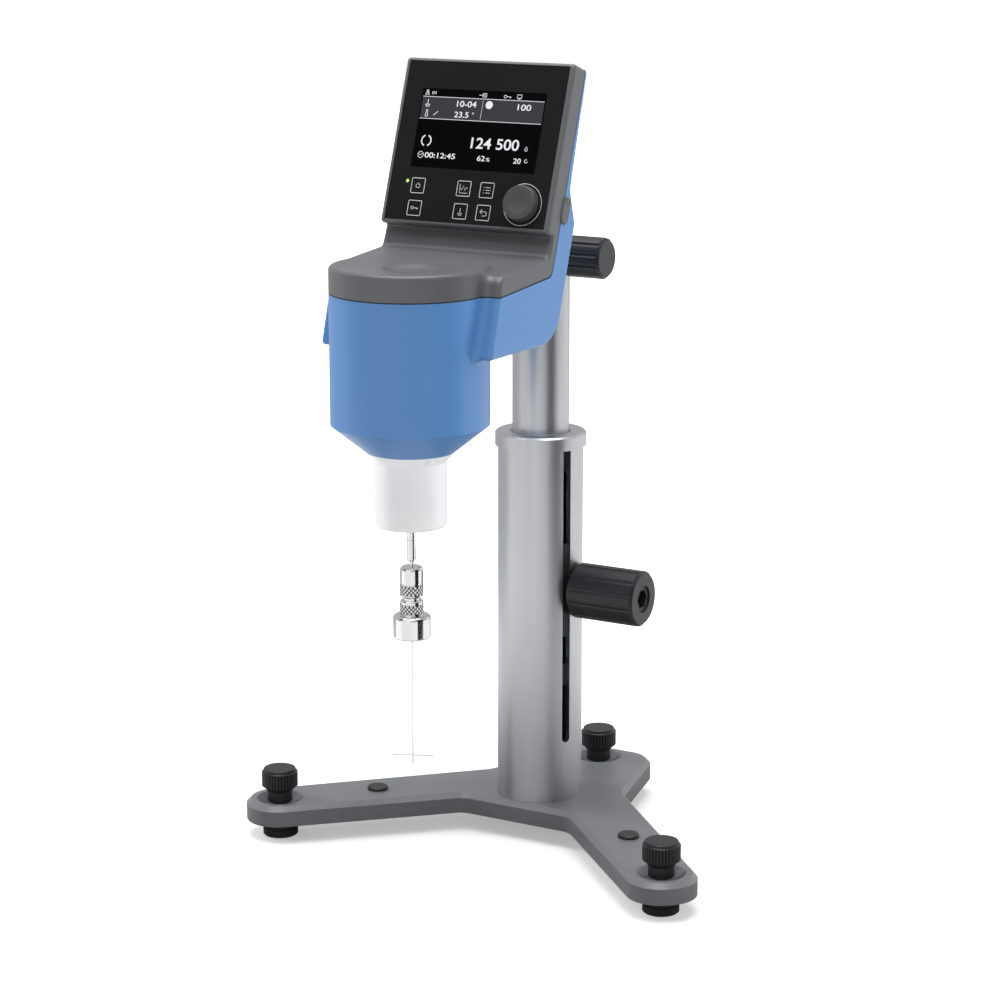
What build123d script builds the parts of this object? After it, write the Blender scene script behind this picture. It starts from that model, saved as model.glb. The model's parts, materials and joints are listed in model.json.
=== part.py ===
from build123d import *
import os
from math import cos, radians, sin, sqrt

os.makedirs("parts", exist_ok=True)

# A rotational viscometer on a telescopic stand. +Z is up, the display faces -Y, and the bench is z = 0.
# All sizes are in millimetres.

# ---------------------------------------------------------------- driving dimensions: stand
plate_thickness = 14.6
plate_chamfer = 3.4
hub_front = 35.0            # column axis to the front edge of the plate
leg_root_half = 26.0        # half width of a front leg where it leaves the hub
leg_end_half = 23.9         # half width of the leg at its foot
leg_end_radius = 23.0
front_foot_x = 153.4        # column axis to a front foot
front_foot_y = 108.1
rear_foot_y = 91.3
rear_root_half = 56.0
rear_end_half = 36.0
rear_reach = 114.6          # column axis to the end of the rear leg
rear_corner_radius = 22.0
hub_corner_radius = 14.0
leg_plug_radius = 7.5       # black plugs in the front legs
leg_plug_height = 2.4
leg_plug_from_foot = 72.0
leg_plug_stem = 7.0
leg_plug_step = 1.5
small_chamfer = 0.8         # broken edge of a small turned or moulded piece

foot_recess_radius = 16.7
foot_recess_floor = 11.6     # radius at the bottom of the sloping recess
foot_recess_depth = 6.0
foot_stud_radius = 4.0
foot_thread_clearance = 0.06
pad_radius = 12.5
pad_height = 11.0
pad_groove_low = 5.4
pad_groove = 1.4            # width and depth of the groove round the pad
pad_socket = 5.0            # how deep the stud sits in the pad
pad_gap = 1.6               # pad to the underside of the plate
foot_neck_radius = 8.9
foot_neck_rise = 3.4        # recess floor to the underside of the knob's neck
foot_neck_length = 8.0
foot_knurl_radius = 12.9
foot_knurl_height = 10.2
foot_knurl_teeth = 36
foot_knurl_depth = 0.75
foot_cap_radius = 11.5
foot_cap_height = 2.7
foot_cap_slope = 0.7        # how far the knurl's top slopes up to the cap
cap_bevel = 0.4

tube_radius = 30.2
tube_wall = 4.5
tube_length = 256.3
slot_width = 6.6
slot_angle = -22.7          # about Z, from +X
slot_foot = 43.4            # plate to the lowest point of the slot
collar_radius = 32.2
collar_height = 10.0
collar_chamfer = 1.2
collar_spigot_length = 17.0
collar_lip = 3.0            # ring of the collar over the guide bush
bush_wall = 2.4
tube_plug_height = 13.0
tube_bolt_radius = 6.0
tube_bolt_head_radius = 9.0
tube_bolt_head_height = 7.0
bolt_socket = 10.0          # across flats
set_screw_radius = 2.5
set_screw_height = 12.0     # above the plate
set_screw_length = 12.0
set_screw_angle = 38.0      # about Z, from +X

fit = 0.05                  # radial clearance of a running or sliding fit
slip = 0.3                  # clearance between parts that only lie near each other

# ---------------------------------------------------------------- driving dimensions: lift and clamps
tube_ring = 5.6             # ring between the two tubes, which the piston bush fills
lift_wall = 3.0
lift_exposed = 104.5        # collar to the top of the lift tube
lift_tail = 180.0           # lift tube below the collar's top
piston_height = 14.0
piston_sole = 1.5           # the bush reaches under the tube
piston_lip = 1.0
key_length = 68.0
key_above_piston = 21.0
key_recess = 1.0            # tube's outside to the key's outside
clamp_block_height = 44.0
clamp_block_spigot = 20.0
clamp_block_round = 4.0
rod_radius = 7.0
rod_above_tube = 20.4       # top of the lift tube to the rod's axis
rod_rear = 42.0             # column axis to the rear end of the rod

column_knob_radius = 19.7
column_knob_length = 52.0
column_knob_height = 153.8  # plate to the knob's axis
column_screw_radius = 5.0
column_screw_head_radius = 9.5
column_screw_head_length = 10.0
hexagon_socket = 12.0       # across flats
hexagon_depth = 7.0
clamp_tip_radius = 4.4
clamp_tip_length = 3.0
rod_knob_radius = 14.3
rod_knob_length = 31.0
rod_screw_radius = 4.0
knob_flutes = 12
flute_radius = 2.6
flute_depth = 0.9
knob_end_wall = 2.5
knob_chamfer = 2.0
knob_gap = 0.7              # knob to the part that it clamps

# ---------------------------------------------------------------- driving dimensions: head
head_offset = 173.8         # column axis to spindle axis
seam_below_rod = 4.1        # rod's axis down to the seam between housing and cover
can_radius = 52.1
can_height = 85.8           # seam down to the foot of the can's straight wall
cone_height = 18.1
cone_foot_radius = 29.6
rim_height = 17.7           # seam to the top of the cover over the can
rim_round = 2.6
arm_blend_most = 5.5        # hollow rounding where the arm runs into the can
arm_blend_share = 0.56      # and its largest share of the arm's front, where that is narrow
wall = 3.0
seam_gap = 0.8              # shadow groove between housing and cover, and its depth from the outside
seam_groove_depth = 1.4
gasket_depth = 1.0          # the seal in the groove, from the groove's floor outwards
seam_rest = 0.1             # gap behind the groove, where the cover sits on the housing
arm_half_width = 64.5
arm_depth = 38.8            # seam down to the underside of the arm
arm_front_foot = -7.5       # front edge of the arm from the spindle axis: at its foot and at the seam
arm_front_seam = 4.0
arm_rear_radius = 25.0
side_round = 2.6
deck_front_rise = 13.0      # seam to the deck's edge at its front
deck_rear_rise = 17.9       # and at the foot of the riser
deck_front_y = 6.0
deck_rear_y = 68.3
riser_lip = 8.5             # how far the riser stands back under the display
dish_radius = 47.0          # shallow dish in the top of the cover, over the can
dish_floor_radius = 21.0
dish_depth = 2.0
dimple_radius = 18.5         # the finger hollow in the middle of the dish
dimple_floor_radius = 12.0
dimple_depth = 2.2          # below the floor of the dish
dish_blend = 5.0            # rounding of the dish's edges
seam_corner_v = -27.9       # corner of the seam under the display
seam_corner_radius = 7.0

display_tilt = 19.0         # backwards from upright
display_y = 67.0            # lower edge of the panel from the spindle axis and the seam
display_z = 36.5
panel_side = 3.45           # side of the arm to the edge of the panel
panel_height = 108.7
panel_thickness = 1.6
bezel_margin = 2.4
slab_top_depth = 18.6       # panel face to the back of the housing, at its top, waist and bulge
slab_waist_depth = 22.5
slab_bulge_depth = 36.0
waist_v = 32.0              # waist and bulge above the panel's lower edge
bulge_v = 12.6
seam_depth = 15.7           # panel face to the seam along the display's side
screen_width = 95.0
screen_height = 53.9
screen_v = 63.3
module_width = 105.0
module_height = 67.0
module_thickness = 4.4
board_width = 112.0
board_height = 92.0
board_thickness = 1.6
board_v = 53.0
encoder_from_side = 18.45   # encoder from the panel's right edge, and above its lower edge
encoder_v = 15.8
encoder_body = 13.0
encoder_body_depth = 6.0
encoder_shaft_radius = 3.0
encoder_knob_radius = 11.8
encoder_knob_height = 5.2
encoder_skirt = 0.4         # how far the knob's foot stands out
encoder_dish_radius = 7.6
encoder_dish_depth = 0.7
encoder_round = 1.0
encoder_press = 0.8
encoder_knob_top = 2.2      # thickness of the knob over its shaft
encoder_knob_lift = 1.1     # knob above the panel, which leaves room for its press
lamp_from_side = 13.25
lamp_v = 26.6
lamp_radius = 1.1
port_v = 17.0
port_depth = 18.2
port_length = 18.0
port_width = 9.0
port_flange = 1.3
port_plug_depth = 2.7
port_rim = 1.0
data_socket_length = 13.0
data_socket_height = 5.6
data_socket_depth = 12.0

# ---------------------------------------------------------------- driving dimensions: drive and spindle
nose_radius = 24.0
nose_length = 50.0          # cone's foot down to the nose's rim
nose_wall = 3.0
nose_round = 2.5
nose_spigot = 5.0
nose_taper = 6.4            # height of the cone on top of the nose
nose_screw_radius = 3.0
nose_screw_angle = -32.0    # about Z, from +X
nose_screw_height = 2.0
nose_screw_round = 1.6
shaft_radius = 3.0
shaft_drop = 24.0           # nose's rim to the shaft's lower end
shaft_ring_height = 14.0
bearing_radius = 9.5
bearing_height = 6.0
chassis_thickness = 4.0
chassis_half_width = 34.0
chassis_front = 34.0        # spindle axis to the chassis plate's front edge
chassis_side = 5.5          # side of the arm to the end of the plate's wing
chassis_wing_length = 40.0
motor_radius = 19.0
motor_height = 41.0
motor_bevel = 2.0
gear_unit_radius = 17.0
gear_unit_height = 26.0
torque_sensor_radius = 14.0
torque_sensor_height = 27.0
shaft_socket = 6.0          # sensor's top down to the shaft's upper end
shaft_end_play = 1.0
bracket_half_width = 20.0
bracket_thickness = 20.0
bracket_y = 40.0            # spindle axis to the bracket's front face
hook_length = 3.4
hook_radius = 1.6
chuck_radius = 7.7
chuck_length = 21.5
chuck_round = 2.6
chuck_shoulder = 12.0       # smooth part above the knurled band
chuck_lip = 1.6             # taper under the band
groove_width = 0.8
groove_depth = 0.5
closer_radius = 7.7
closer_length = 10.0
closer_round = 1.2
closer_neck_radius = 5.6
closer_neck_length = 1.4
weight_radius = 12.6
weight_length = 15.6
weight_round = 1.0
weight_shoulder = 2.4
bar_radius = 0.6
bar_length = 87.8           # weight's underside to the bar's foot
cross_length = 27.0
cross_above_foot = 6.2
cross_angle = 26.0          # about Z, from +X
socket_radius = 6.0
socket_flange = 1.2
socket_length = 9.0
socket_x = 28.0
socket_v = -5.0
case_screw_radius = 3.2
case_screw_head = 1.9
case_screw_length = 10.0
case_screw_side = 10.5      # side of the arm to the screws
case_screw_front = 14.0     # spindle axis to the screws
case_screw_rear = 50.0

# ---------------------------------------------------------------- levels and places that follow
plate_bottom = pad_height + pad_gap
plate_top = plate_bottom + plate_thickness
tube_top = plate_top + tube_length
collar_top = tube_top + collar_height
lift_top = collar_top + lift_exposed
lift_foot = collar_top - lift_tail
rod_z = lift_top + rod_above_tube
seam_z = rod_z - seam_below_rod
rim_top = seam_z + rim_height
dish_floor = rim_top - dish_depth
dimple_floor = dish_floor - dimple_depth
can_roof = dimple_floor - wall
tube_bore = tube_radius - tube_wall
lift_radius = tube_bore - tube_ring
arm_blend = min(arm_blend_most, arm_blend_share * (arm_half_width - can_radius - side_round))
panel_width = 2 * (arm_half_width - panel_side)
encoder_u = panel_width / 2 - encoder_from_side
lamp_u = lamp_from_side - panel_width / 2
column_y = (head_offset + can_radius - rear_reach) / 2    # puts the origin under the middle of the whole
head_y = column_y - head_offset
column_knob_z = plate_top + column_knob_height
recess_floor = plate_top - foot_recess_depth
can_foot = seam_z - can_height
cone_foot = can_foot - cone_height
nose_foot = cone_foot - nose_length
arm_floor = seam_z - arm_depth + wall
shaft_foot = nose_foot - shaft_drop
chuck_top = shaft_foot - hook_length
closer_top = chuck_top - chuck_length
weight_top = closer_top - closer_length - closer_neck_length
weight_foot = weight_top - weight_length
chassis_top = arm_floor + chassis_thickness
chassis_wing = arm_half_width - chassis_side
case_screw_x = arm_half_width - case_screw_side
sensor_top = arm_floor - gear_unit_height
motor_top = chassis_top + motor_height

column_axis = Axis((0, column_y, 0), (0, 0, 1))
head_axis = Axis((0, head_y, 0), (0, 0, 1))
case_screw_places = [
    (side * case_screw_x, head_y + along) for side in (-1, 1) for along in (case_screw_front, case_screw_rear)
]
column_section = Plane.XZ.offset(-column_y)
head_section = Plane.XZ.offset(-head_y)

tilt = radians(display_tilt)
panel_origin = (0, head_y + display_y, seam_z + display_z)
panel_plane = Plane(origin=panel_origin, x_dir=(1, 0, 0), z_dir=(0, -cos(tilt), sin(tilt)))


def beside_display(v, depth):
    """A point of the head's side profile: v up along the panel and depth behind its face."""
    y = head_y + display_y + v * sin(tilt) + depth * cos(tilt)
    z = seam_z + display_z + v * cos(tilt) - depth * sin(tilt)
    return (y, z)


port_plane = Plane(
    origin=(arm_half_width, *beside_display(port_v, port_depth)), x_dir=(0, sin(tilt), cos(tilt)),
    z_dir=(1, 0, 0)
)
back_plane = Plane(
    origin=(0, *beside_display(0, slab_bulge_depth)), x_dir=(-1, 0, 0), z_dir=(0, cos(tilt), -sin(tilt))
)
column_knob_plane = Plane(origin=(0, column_y, column_knob_z), x_dir=(0, 1, 0), z_dir=(1, 0, 0))
rod_knob_plane = Plane(origin=(0, column_y, rod_z), x_dir=(0, 1, 0), z_dir=(1, 0, 0))


def turned(points, section, axis):
    """A turned piece from the half section (radius, height)."""
    with BuildPart() as piece:
        with BuildSketch(section):
            with BuildLine():
                Polyline(*points, close=True)
            make_face()
        revolve(axis=axis)
    return piece.part


# ---------------------------------------------------------------- base plate
leg_start_y = column_y - front_foot_y + front_foot_x      # the legs run at 45 degrees from this point
leg_run = front_foot_x * sqrt(2)
front_feet = [(-front_foot_x, column_y - front_foot_y), (front_foot_x, column_y - front_foot_y)]
rear_foot = (0, column_y + rear_foot_y)
feet = {"rear": rear_foot, "left": front_feet[0], "right": front_feet[1]}
leg_plug_shift = leg_plug_from_foot / sqrt(2)
leg_plugs = [
    (side * (front_foot_x - leg_plug_shift), column_y - front_foot_y + leg_plug_shift) for side in (-1, 1)
]


def on_leg(along, across):
    """A point of the right front leg: along it from its start, and across it towards the rear."""
    return ((along + across) / sqrt(2), leg_start_y + (across - along) / sqrt(2))


front_corner = on_leg(sqrt(2) * (leg_start_y - column_y + hub_front) - leg_root_half, -leg_root_half)
rear_corner = on_leg(sqrt(2) * rear_root_half - leg_root_half, leg_root_half)

with BuildPart() as base_plate:
    with BuildSketch(Plane.XY.offset(plate_bottom)):
        with BuildLine():
            FilletPolyline(
                (0, column_y - hub_front), front_corner,
                on_leg(leg_run + leg_end_half, -leg_end_half),
                on_leg(leg_run + leg_end_half, leg_end_half),
                rear_corner, (rear_end_half, column_y + rear_reach), (0, column_y + rear_reach),
                radius=[
                    hub_corner_radius, leg_end_radius, leg_end_radius, hub_corner_radius,
                    rear_corner_radius,
                ],
            )
            mirror(about=Plane.YZ)
        make_face()
    extrude(amount=plate_thickness)
    chamfer(base_plate.faces().sort_by(Axis.Z)[-1].outer_wire().edges(), plate_chamfer)
    for foot_place in (rear_foot, *front_feet):
        with Locations((*foot_place, recess_floor)):
            Cone(
                foot_recess_floor, foot_recess_radius, foot_recess_depth,
                align=(Align.CENTER, Align.CENTER, Align.MIN), mode=Mode.SUBTRACT,
            )
    with BuildSketch(Plane.XY.offset(plate_bottom)):
        with Locations(rear_foot, *front_feet):
            Circle(foot_stud_radius + foot_thread_clearance)
        with Locations((0, column_y)):
            Circle(tube_bolt_radius + slip)
    extrude(amount=plate_thickness, mode=Mode.SUBTRACT)
    with BuildSketch(Plane.XY.offset(plate_bottom)):
        with Locations((0, column_y)):
            Circle(tube_bolt_head_radius + slip)
    extrude(amount=tube_bolt_head_height, mode=Mode.SUBTRACT)
    with BuildSketch(Plane.XY.offset(plate_top)):
        with Locations(*leg_plugs):
            Circle(leg_plug_radius - leg_plug_step)
    extrude(amount=-leg_plug_stem, mode=Mode.SUBTRACT)
base_plate.part.label = "base_plate"
export_step(base_plate.part, "parts/base_plate.step")

with BuildPart() as leg_caps:
    with BuildSketch(Plane.XY.offset(plate_top)):
        with Locations(*leg_plugs):
            Circle(leg_plug_radius)
    extrude(amount=leg_plug_height)
    chamfer(leg_caps.faces().filter_by(Plane.XY).group_by(Axis.Z)[-1].edges(), small_chamfer)
    with BuildSketch(Plane.XY.offset(plate_top)):
        with Locations(*leg_plugs):
            Circle(leg_plug_radius - leg_plug_step - fit)
    extrude(amount=-leg_plug_stem + slip)
leg_caps.part.label = "leg_caps"
export_step(leg_caps.part, "parts/leg_caps.step")

# ---------------------------------------------------------------- column
slot_plane = Plane(
    origin=(0, column_y, 0), x_dir=(0, 0, 1), z_dir=(cos(radians(slot_angle)), sin(radians(slot_angle)), 0)
)
set_screw_direction = (cos(radians(set_screw_angle)), sin(radians(set_screw_angle)), 0)
set_screw_plane = Plane(
    origin=(0, column_y, plate_top + set_screw_height), x_dir=(0, 0, 1), z_dir=set_screw_direction
)
slot_low = plate_top + slot_foot
tube_plug_top = plate_top + tube_plug_height

with BuildPart() as column_tube:
    with BuildSketch(Plane.XY.offset(plate_top)):
        with Locations((0, column_y)):
            Circle(tube_radius)
            Circle(tube_bore, mode=Mode.SUBTRACT)
    extrude(amount=tube_length)
    with BuildSketch(slot_plane):
        with Locations((slot_low + slot_width / 2, 0)):
            Circle(slot_width / 2)
            Rectangle(tube_length, slot_width, align=(Align.MIN, Align.CENTER))
    extrude(amount=tube_radius * 2, mode=Mode.SUBTRACT)
    with BuildSketch(column_knob_plane):
        Circle(column_screw_radius + fit)
    extrude(amount=tube_radius * 2, mode=Mode.SUBTRACT)
    with BuildSketch(set_screw_plane):
        Circle(set_screw_radius + fit)
    extrude(amount=tube_radius * 2, mode=Mode.SUBTRACT)
column_tube.part.label = "column_tube"
export_step(column_tube.part, "parts/column_tube.step")

with BuildPart() as column_plug:
    with BuildSketch(Plane.XY.offset(plate_top)):
        with Locations((0, column_y)):
            Circle(tube_bore - fit)
            Circle(tube_bolt_radius + fit, mode=Mode.SUBTRACT)
    extrude(amount=tube_plug_height)
    with BuildSketch(set_screw_plane):
        Circle(set_screw_radius + fit)
    extrude(amount=tube_radius * 2, mode=Mode.SUBTRACT)
    chamfer(column_plug.edges().filter_by(GeomType.CIRCLE).group_by(Axis.Z)[-1], small_chamfer)
column_plug.part.label = "column_plug"
export_step(column_plug.part, "parts/column_plug.step")

with BuildPart() as column_bolt:
    with BuildSketch(Plane.XY.offset(plate_bottom + slip)):
        with Locations((0, column_y)):
            Circle(tube_bolt_head_radius)
    extrude(amount=tube_bolt_head_height - slip)
    with BuildSketch(Plane.XY.offset(plate_bottom + tube_bolt_head_height)):
        with Locations((0, column_y)):
            Circle(tube_bolt_radius)
    extrude(amount=tube_plug_top - plate_bottom - tube_bolt_head_height - slip)
    with BuildSketch(Plane.XY.offset(plate_bottom + slip)):
        with Locations((0, column_y)):
            RegularPolygon(bolt_socket / 2, 6, major_radius=False)
    extrude(amount=tube_bolt_head_height / 2, mode=Mode.SUBTRACT)
column_bolt.part.label = "column_bolt"
export_step(column_bolt.part, "parts/column_bolt.step")

with BuildPart() as column_set_screw:
    with BuildSketch(set_screw_plane.offset(tube_radius - slip)):
        Circle(set_screw_radius)
    extrude(amount=-set_screw_length)
    with BuildSketch(set_screw_plane.offset(tube_radius)):
        RegularPolygon(set_screw_radius / 2, 6, major_radius=False)
    extrude(amount=-set_screw_radius, mode=Mode.SUBTRACT)
column_set_screw.part.label = "column_set_screw"
export_step(column_set_screw.part, "parts/column_set_screw.step")

bush_radius = lift_radius + fit + bush_wall
with BuildPart() as column_collar:
    with BuildSketch(column_section):
        with BuildLine():
            Polyline(
                (bush_radius + fit, tube_top - collar_spigot_length),
                (tube_bore - fit, tube_top - collar_spigot_length),
                (tube_bore - fit, tube_top), (collar_radius, tube_top),
                (collar_radius, collar_top - collar_chamfer),
                (collar_radius - collar_chamfer, collar_top),
                (lift_radius + slip + collar_chamfer, collar_top),
                (lift_radius + slip, collar_top - collar_chamfer),
                (lift_radius + slip, collar_top - collar_lip),
                (bush_radius + fit, collar_top - collar_lip), close=True,
            )
        make_face()
    revolve(axis=column_axis)
    with BuildSketch(slot_plane):
        Rectangle(tube_top, slot_width, align=(Align.MIN, Align.CENTER))
    extrude(amount=tube_radius, mode=Mode.SUBTRACT)
column_collar.part.label = "column_collar"
export_step(column_collar.part, "parts/column_collar.step")

guide_bush = turned(
    [
        (lift_radius + fit, tube_top - collar_spigot_length),
        (bush_radius, tube_top - collar_spigot_length),
        (bush_radius, collar_top - collar_lip), (lift_radius + fit, collar_top - collar_lip),
    ],
    column_section, column_axis,
)
guide_bush.label = "guide_bush"
export_step(guide_bush, "parts/guide_bush.step")

# ---------------------------------------------------------------- levelling feet
neck_foot = recess_floor + foot_neck_rise
knurl_foot = neck_foot + foot_neck_length + foot_knurl_radius - foot_neck_radius
knurl_top = knurl_foot + foot_knurl_height
cap_top = knurl_top + foot_cap_height

for place, (foot_x, foot_y) in feet.items():
    foot_section = Plane.XZ.offset(-foot_y)
    foot_axis = Axis((foot_x, foot_y, 0), (0, 0, 1))

    with BuildPart() as foot_knob:
        with BuildSketch(Plane.XY.offset(knurl_foot)):
            with Locations((foot_x, foot_y)):
                Circle(foot_knurl_radius)
                with PolarLocations(foot_knurl_radius, foot_knurl_teeth):
                    RegularPolygon(foot_knurl_depth, 3, rotation=180, mode=Mode.SUBTRACT)
        extrude(amount=foot_knurl_height)
        with BuildSketch(foot_section):
            with BuildLine():
                Polyline(
                    (foot_x, neck_foot), (foot_x + foot_neck_radius - small_chamfer, neck_foot),
                    (foot_x + foot_neck_radius, neck_foot + small_chamfer),
                    (foot_x + foot_neck_radius, neck_foot + foot_neck_length),
                    (foot_x + foot_knurl_radius - foot_knurl_depth, knurl_foot),
                    (foot_x, knurl_foot), close=True,
                )
            make_face()
        revolve(axis=foot_axis)
        with BuildSketch(foot_section):
            with BuildLine():
                Polyline(
                    (foot_x, knurl_top), (foot_x + foot_knurl_radius - foot_knurl_depth, knurl_top),
                    (foot_x + foot_cap_radius, knurl_top + foot_cap_slope),
                    (foot_x + foot_cap_radius, cap_top - cap_bevel),
                    (foot_x + foot_cap_radius - cap_bevel, cap_top), (foot_x, cap_top), close=True,
                )
            make_face()
        revolve(axis=foot_axis)
        with BuildSketch(Plane.XY.offset(neck_foot)):
            with Locations((foot_x, foot_y)):
                Circle(foot_stud_radius + fit)
        extrude(amount=foot_neck_length + foot_knurl_height, mode=Mode.SUBTRACT)
    foot_knob.part.label = f"{place}_foot_knob"
    export_step(foot_knob.part, f"parts/{place}_foot_knob.step")

    with BuildPart() as foot_stud:
        with BuildSketch(Plane.XY.offset(pad_height - pad_socket)):
            with Locations((foot_x, foot_y)):
                Circle(foot_stud_radius)
        extrude(amount=neck_foot + foot_neck_length + foot_knurl_height - pad_height + pad_socket)
    foot_stud.part.label = f"{place}_foot_stud"
    export_step(foot_stud.part, f"parts/{place}_foot_stud.step")

    with BuildPart() as foot_pad:
        with BuildSketch(foot_section):
            with BuildLine():
                Polyline(
                    (foot_x, 0), (foot_x + pad_radius - small_chamfer, 0),
                    (foot_x + pad_radius, small_chamfer),
                    (foot_x + pad_radius, pad_groove_low),
                    (foot_x + pad_radius - pad_groove, pad_groove_low),
                    (foot_x + pad_radius - pad_groove, pad_groove_low + pad_groove),
                    (foot_x + pad_radius, pad_groove_low + pad_groove),
                    (foot_x + pad_radius, pad_height - small_chamfer),
                    (foot_x + pad_radius - small_chamfer, pad_height),
                    (foot_x + foot_stud_radius + fit, pad_height),
                    (foot_x + foot_stud_radius + fit, pad_height - pad_socket),
                    (foot_x, pad_height - pad_socket), close=True,
                )
            make_face()
        revolve(axis=foot_axis)
    foot_pad.part.label = f"{place}_foot_pad"
    export_step(foot_pad.part, f"parts/{place}_foot_pad.step")

# ---------------------------------------------------------------- lift tube
lift_bore = lift_radius - lift_wall
piston_top = lift_foot + piston_height
with BuildPart() as lift_tube:
    with BuildSketch(Plane.XY.offset(lift_foot)):
        with Locations((0, column_y)):
            Circle(lift_radius)
            Circle(lift_bore, mode=Mode.SUBTRACT)
    extrude(amount=lift_top - lift_foot)
lift_tube.part.label = "lift_tube"
export_step(lift_tube.part, "parts/lift_tube.step")

piston_bush = turned(
    [
        (lift_bore + piston_lip, lift_foot - piston_sole),
        (tube_bore - 2 * fit, lift_foot - piston_sole), (tube_bore - 2 * fit, piston_top),
        (lift_radius + fit, piston_top), (lift_radius + fit, lift_foot),
        (lift_bore + piston_lip, lift_foot),
    ],
    column_section, column_axis,
)
piston_bush.label = "piston_bush"
export_step(piston_bush, "parts/piston_bush.step")

key_foot = piston_top + key_above_piston
with BuildPart() as guide_key:
    with BuildSketch(slot_plane.offset(lift_radius + fit)):
        with Locations((key_foot + key_length / 2, 0)):
            SlotOverall(key_length, slot_width - 4 * fit)
    extrude(amount=tube_radius - key_recess - lift_radius - fit)
guide_key.part.label = "guide_key"
export_step(guide_key.part, "parts/guide_key.step")

with BuildPart() as clamp_block:
    with BuildSketch(column_section):
        with BuildLine():
            Polyline(
                (0, lift_top - clamp_block_spigot), (lift_bore - fit, lift_top - clamp_block_spigot),
                (lift_bore - fit, lift_top),
                (lift_radius, lift_top), (lift_radius, lift_top + clamp_block_height - clamp_block_round),
                (lift_radius - clamp_block_round, lift_top + clamp_block_height),
                (0, lift_top + clamp_block_height), close=True,
            )
        make_face()
    revolve(axis=column_axis)
    with BuildSketch(Plane.XZ.offset(-column_y)):
        with Locations((0, rod_z)):
            Circle(rod_radius + fit)
    extrude(amount=lift_radius * 2, both=True, mode=Mode.SUBTRACT)
    with BuildSketch(rod_knob_plane):
        Circle(rod_screw_radius + fit)
    extrude(amount=lift_radius * 2, mode=Mode.SUBTRACT)
clamp_block.part.label = "clamp_block"
export_step(clamp_block.part, "parts/clamp_block.step")

# ---------------------------------------------------------------- clamp knobs
for name, plane, seat, radius, length, bore in (
    (
        "column_knob", column_knob_plane, tube_radius, column_knob_radius, column_knob_length,
        column_screw_radius,
    ),
    ("rod_knob", rod_knob_plane, lift_radius, rod_knob_radius, rod_knob_length, rod_screw_radius),
):
    foot = seat + knob_gap
    with BuildPart() as knob:
        with BuildSketch(plane.offset(foot)):
            Circle(radius)
        extrude(amount=length)
        chamfer(knob.edges().filter_by(GeomType.CIRCLE), knob_chamfer)
        with BuildSketch(plane.offset(foot)):
            with PolarLocations(radius + flute_radius - flute_depth, knob_flutes, start_angle=15):
                Circle(flute_radius)
        extrude(amount=length, mode=Mode.SUBTRACT)
        with BuildSketch(plane.offset(foot)):
            Circle(bore + fit)
        extrude(amount=length - knob_end_wall, mode=Mode.SUBTRACT)
        if name == "column_knob":
            with BuildSketch(plane.offset(foot + length - column_screw_head_length)):
                Circle(column_screw_head_radius + fit)
            extrude(amount=column_screw_head_length, mode=Mode.SUBTRACT)
    knob.part.label = name
    export_step(knob.part, f"parts/{name}.step")

column_knob_end = tube_radius + knob_gap + column_knob_length
with BuildPart() as column_knob_screw:
    with BuildSketch(column_knob_plane.offset(column_knob_end - column_screw_head_length)):
        Circle(column_screw_head_radius)
    extrude(amount=column_screw_head_length - 1.2)
    with BuildSketch(column_knob_plane.offset(column_knob_end - 1.2)):
        RegularPolygon(hexagon_socket / 2, 6, major_radius=False)
    extrude(amount=-hexagon_depth, mode=Mode.SUBTRACT)
    with BuildSketch(column_knob_plane.offset(lift_radius + slip + clamp_tip_length)):
        Circle(column_screw_radius)
    extrude(amount=column_knob_end - column_screw_head_length - lift_radius - slip - clamp_tip_length)
column_knob_screw.part.label = "column_knob_screw"
export_step(column_knob_screw.part, "parts/column_knob_screw.step")

with BuildPart() as clamp_tip:
    with BuildSketch(column_knob_plane.offset(lift_radius + slip)):
        Circle(clamp_tip_radius)
    extrude(amount=clamp_tip_length)
clamp_tip.part.label = "clamp_tip"
export_step(clamp_tip.part, "parts/clamp_tip.step")

rod_knob_end = lift_radius + knob_gap + rod_knob_length
with BuildPart() as rod_knob_screw:
    with BuildSketch(rod_knob_plane.offset(rod_radius + slip)):
        Circle(rod_screw_radius)
    extrude(amount=rod_knob_end - knob_end_wall - rod_radius - slip)
rod_knob_screw.part.label = "rod_knob_screw"
export_step(rod_knob_screw.part, "parts/rod_knob_screw.step")

# ---------------------------------------------------------------- head: outer form and hollow
arm_front_y = head_y + arm_front_foot
deck_front = (head_y + deck_front_y, seam_z + deck_front_rise)
deck_rear = (head_y + deck_rear_y, seam_z + deck_rear_rise)
panel_low = beside_display(-bezel_margin, 0)
riser_top = beside_display(-bezel_margin, riser_lip)
bulge_end = beside_display(0, slab_bulge_depth)
arm_rear_y = bulge_end[0] - (bulge_end[1] - seam_z + arm_depth) * sin(tilt) / cos(tilt)
side_profile = [
    (arm_front_y, seam_z - arm_depth), (arm_rear_y, seam_z - arm_depth),
    beside_display(bulge_v, slab_bulge_depth), beside_display(waist_v, slab_waist_depth),
    beside_display(panel_height + bezel_margin, slab_top_depth),
    beside_display(panel_height + bezel_margin, 0),
    panel_low, riser_top, deck_rear, deck_front, (head_y + arm_front_seam, seam_z),
]
side_radii = [2.5, arm_rear_radius, 9.0, 14.0, 3.0, 2.5, 2.0, 1.2, 5.0, 7.0, 4.0]
can_section = [
    (0, cone_foot), (cone_foot_radius, cone_foot), (can_radius, can_foot), (can_radius, rim_top),
    (0, rim_top)
]


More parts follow.
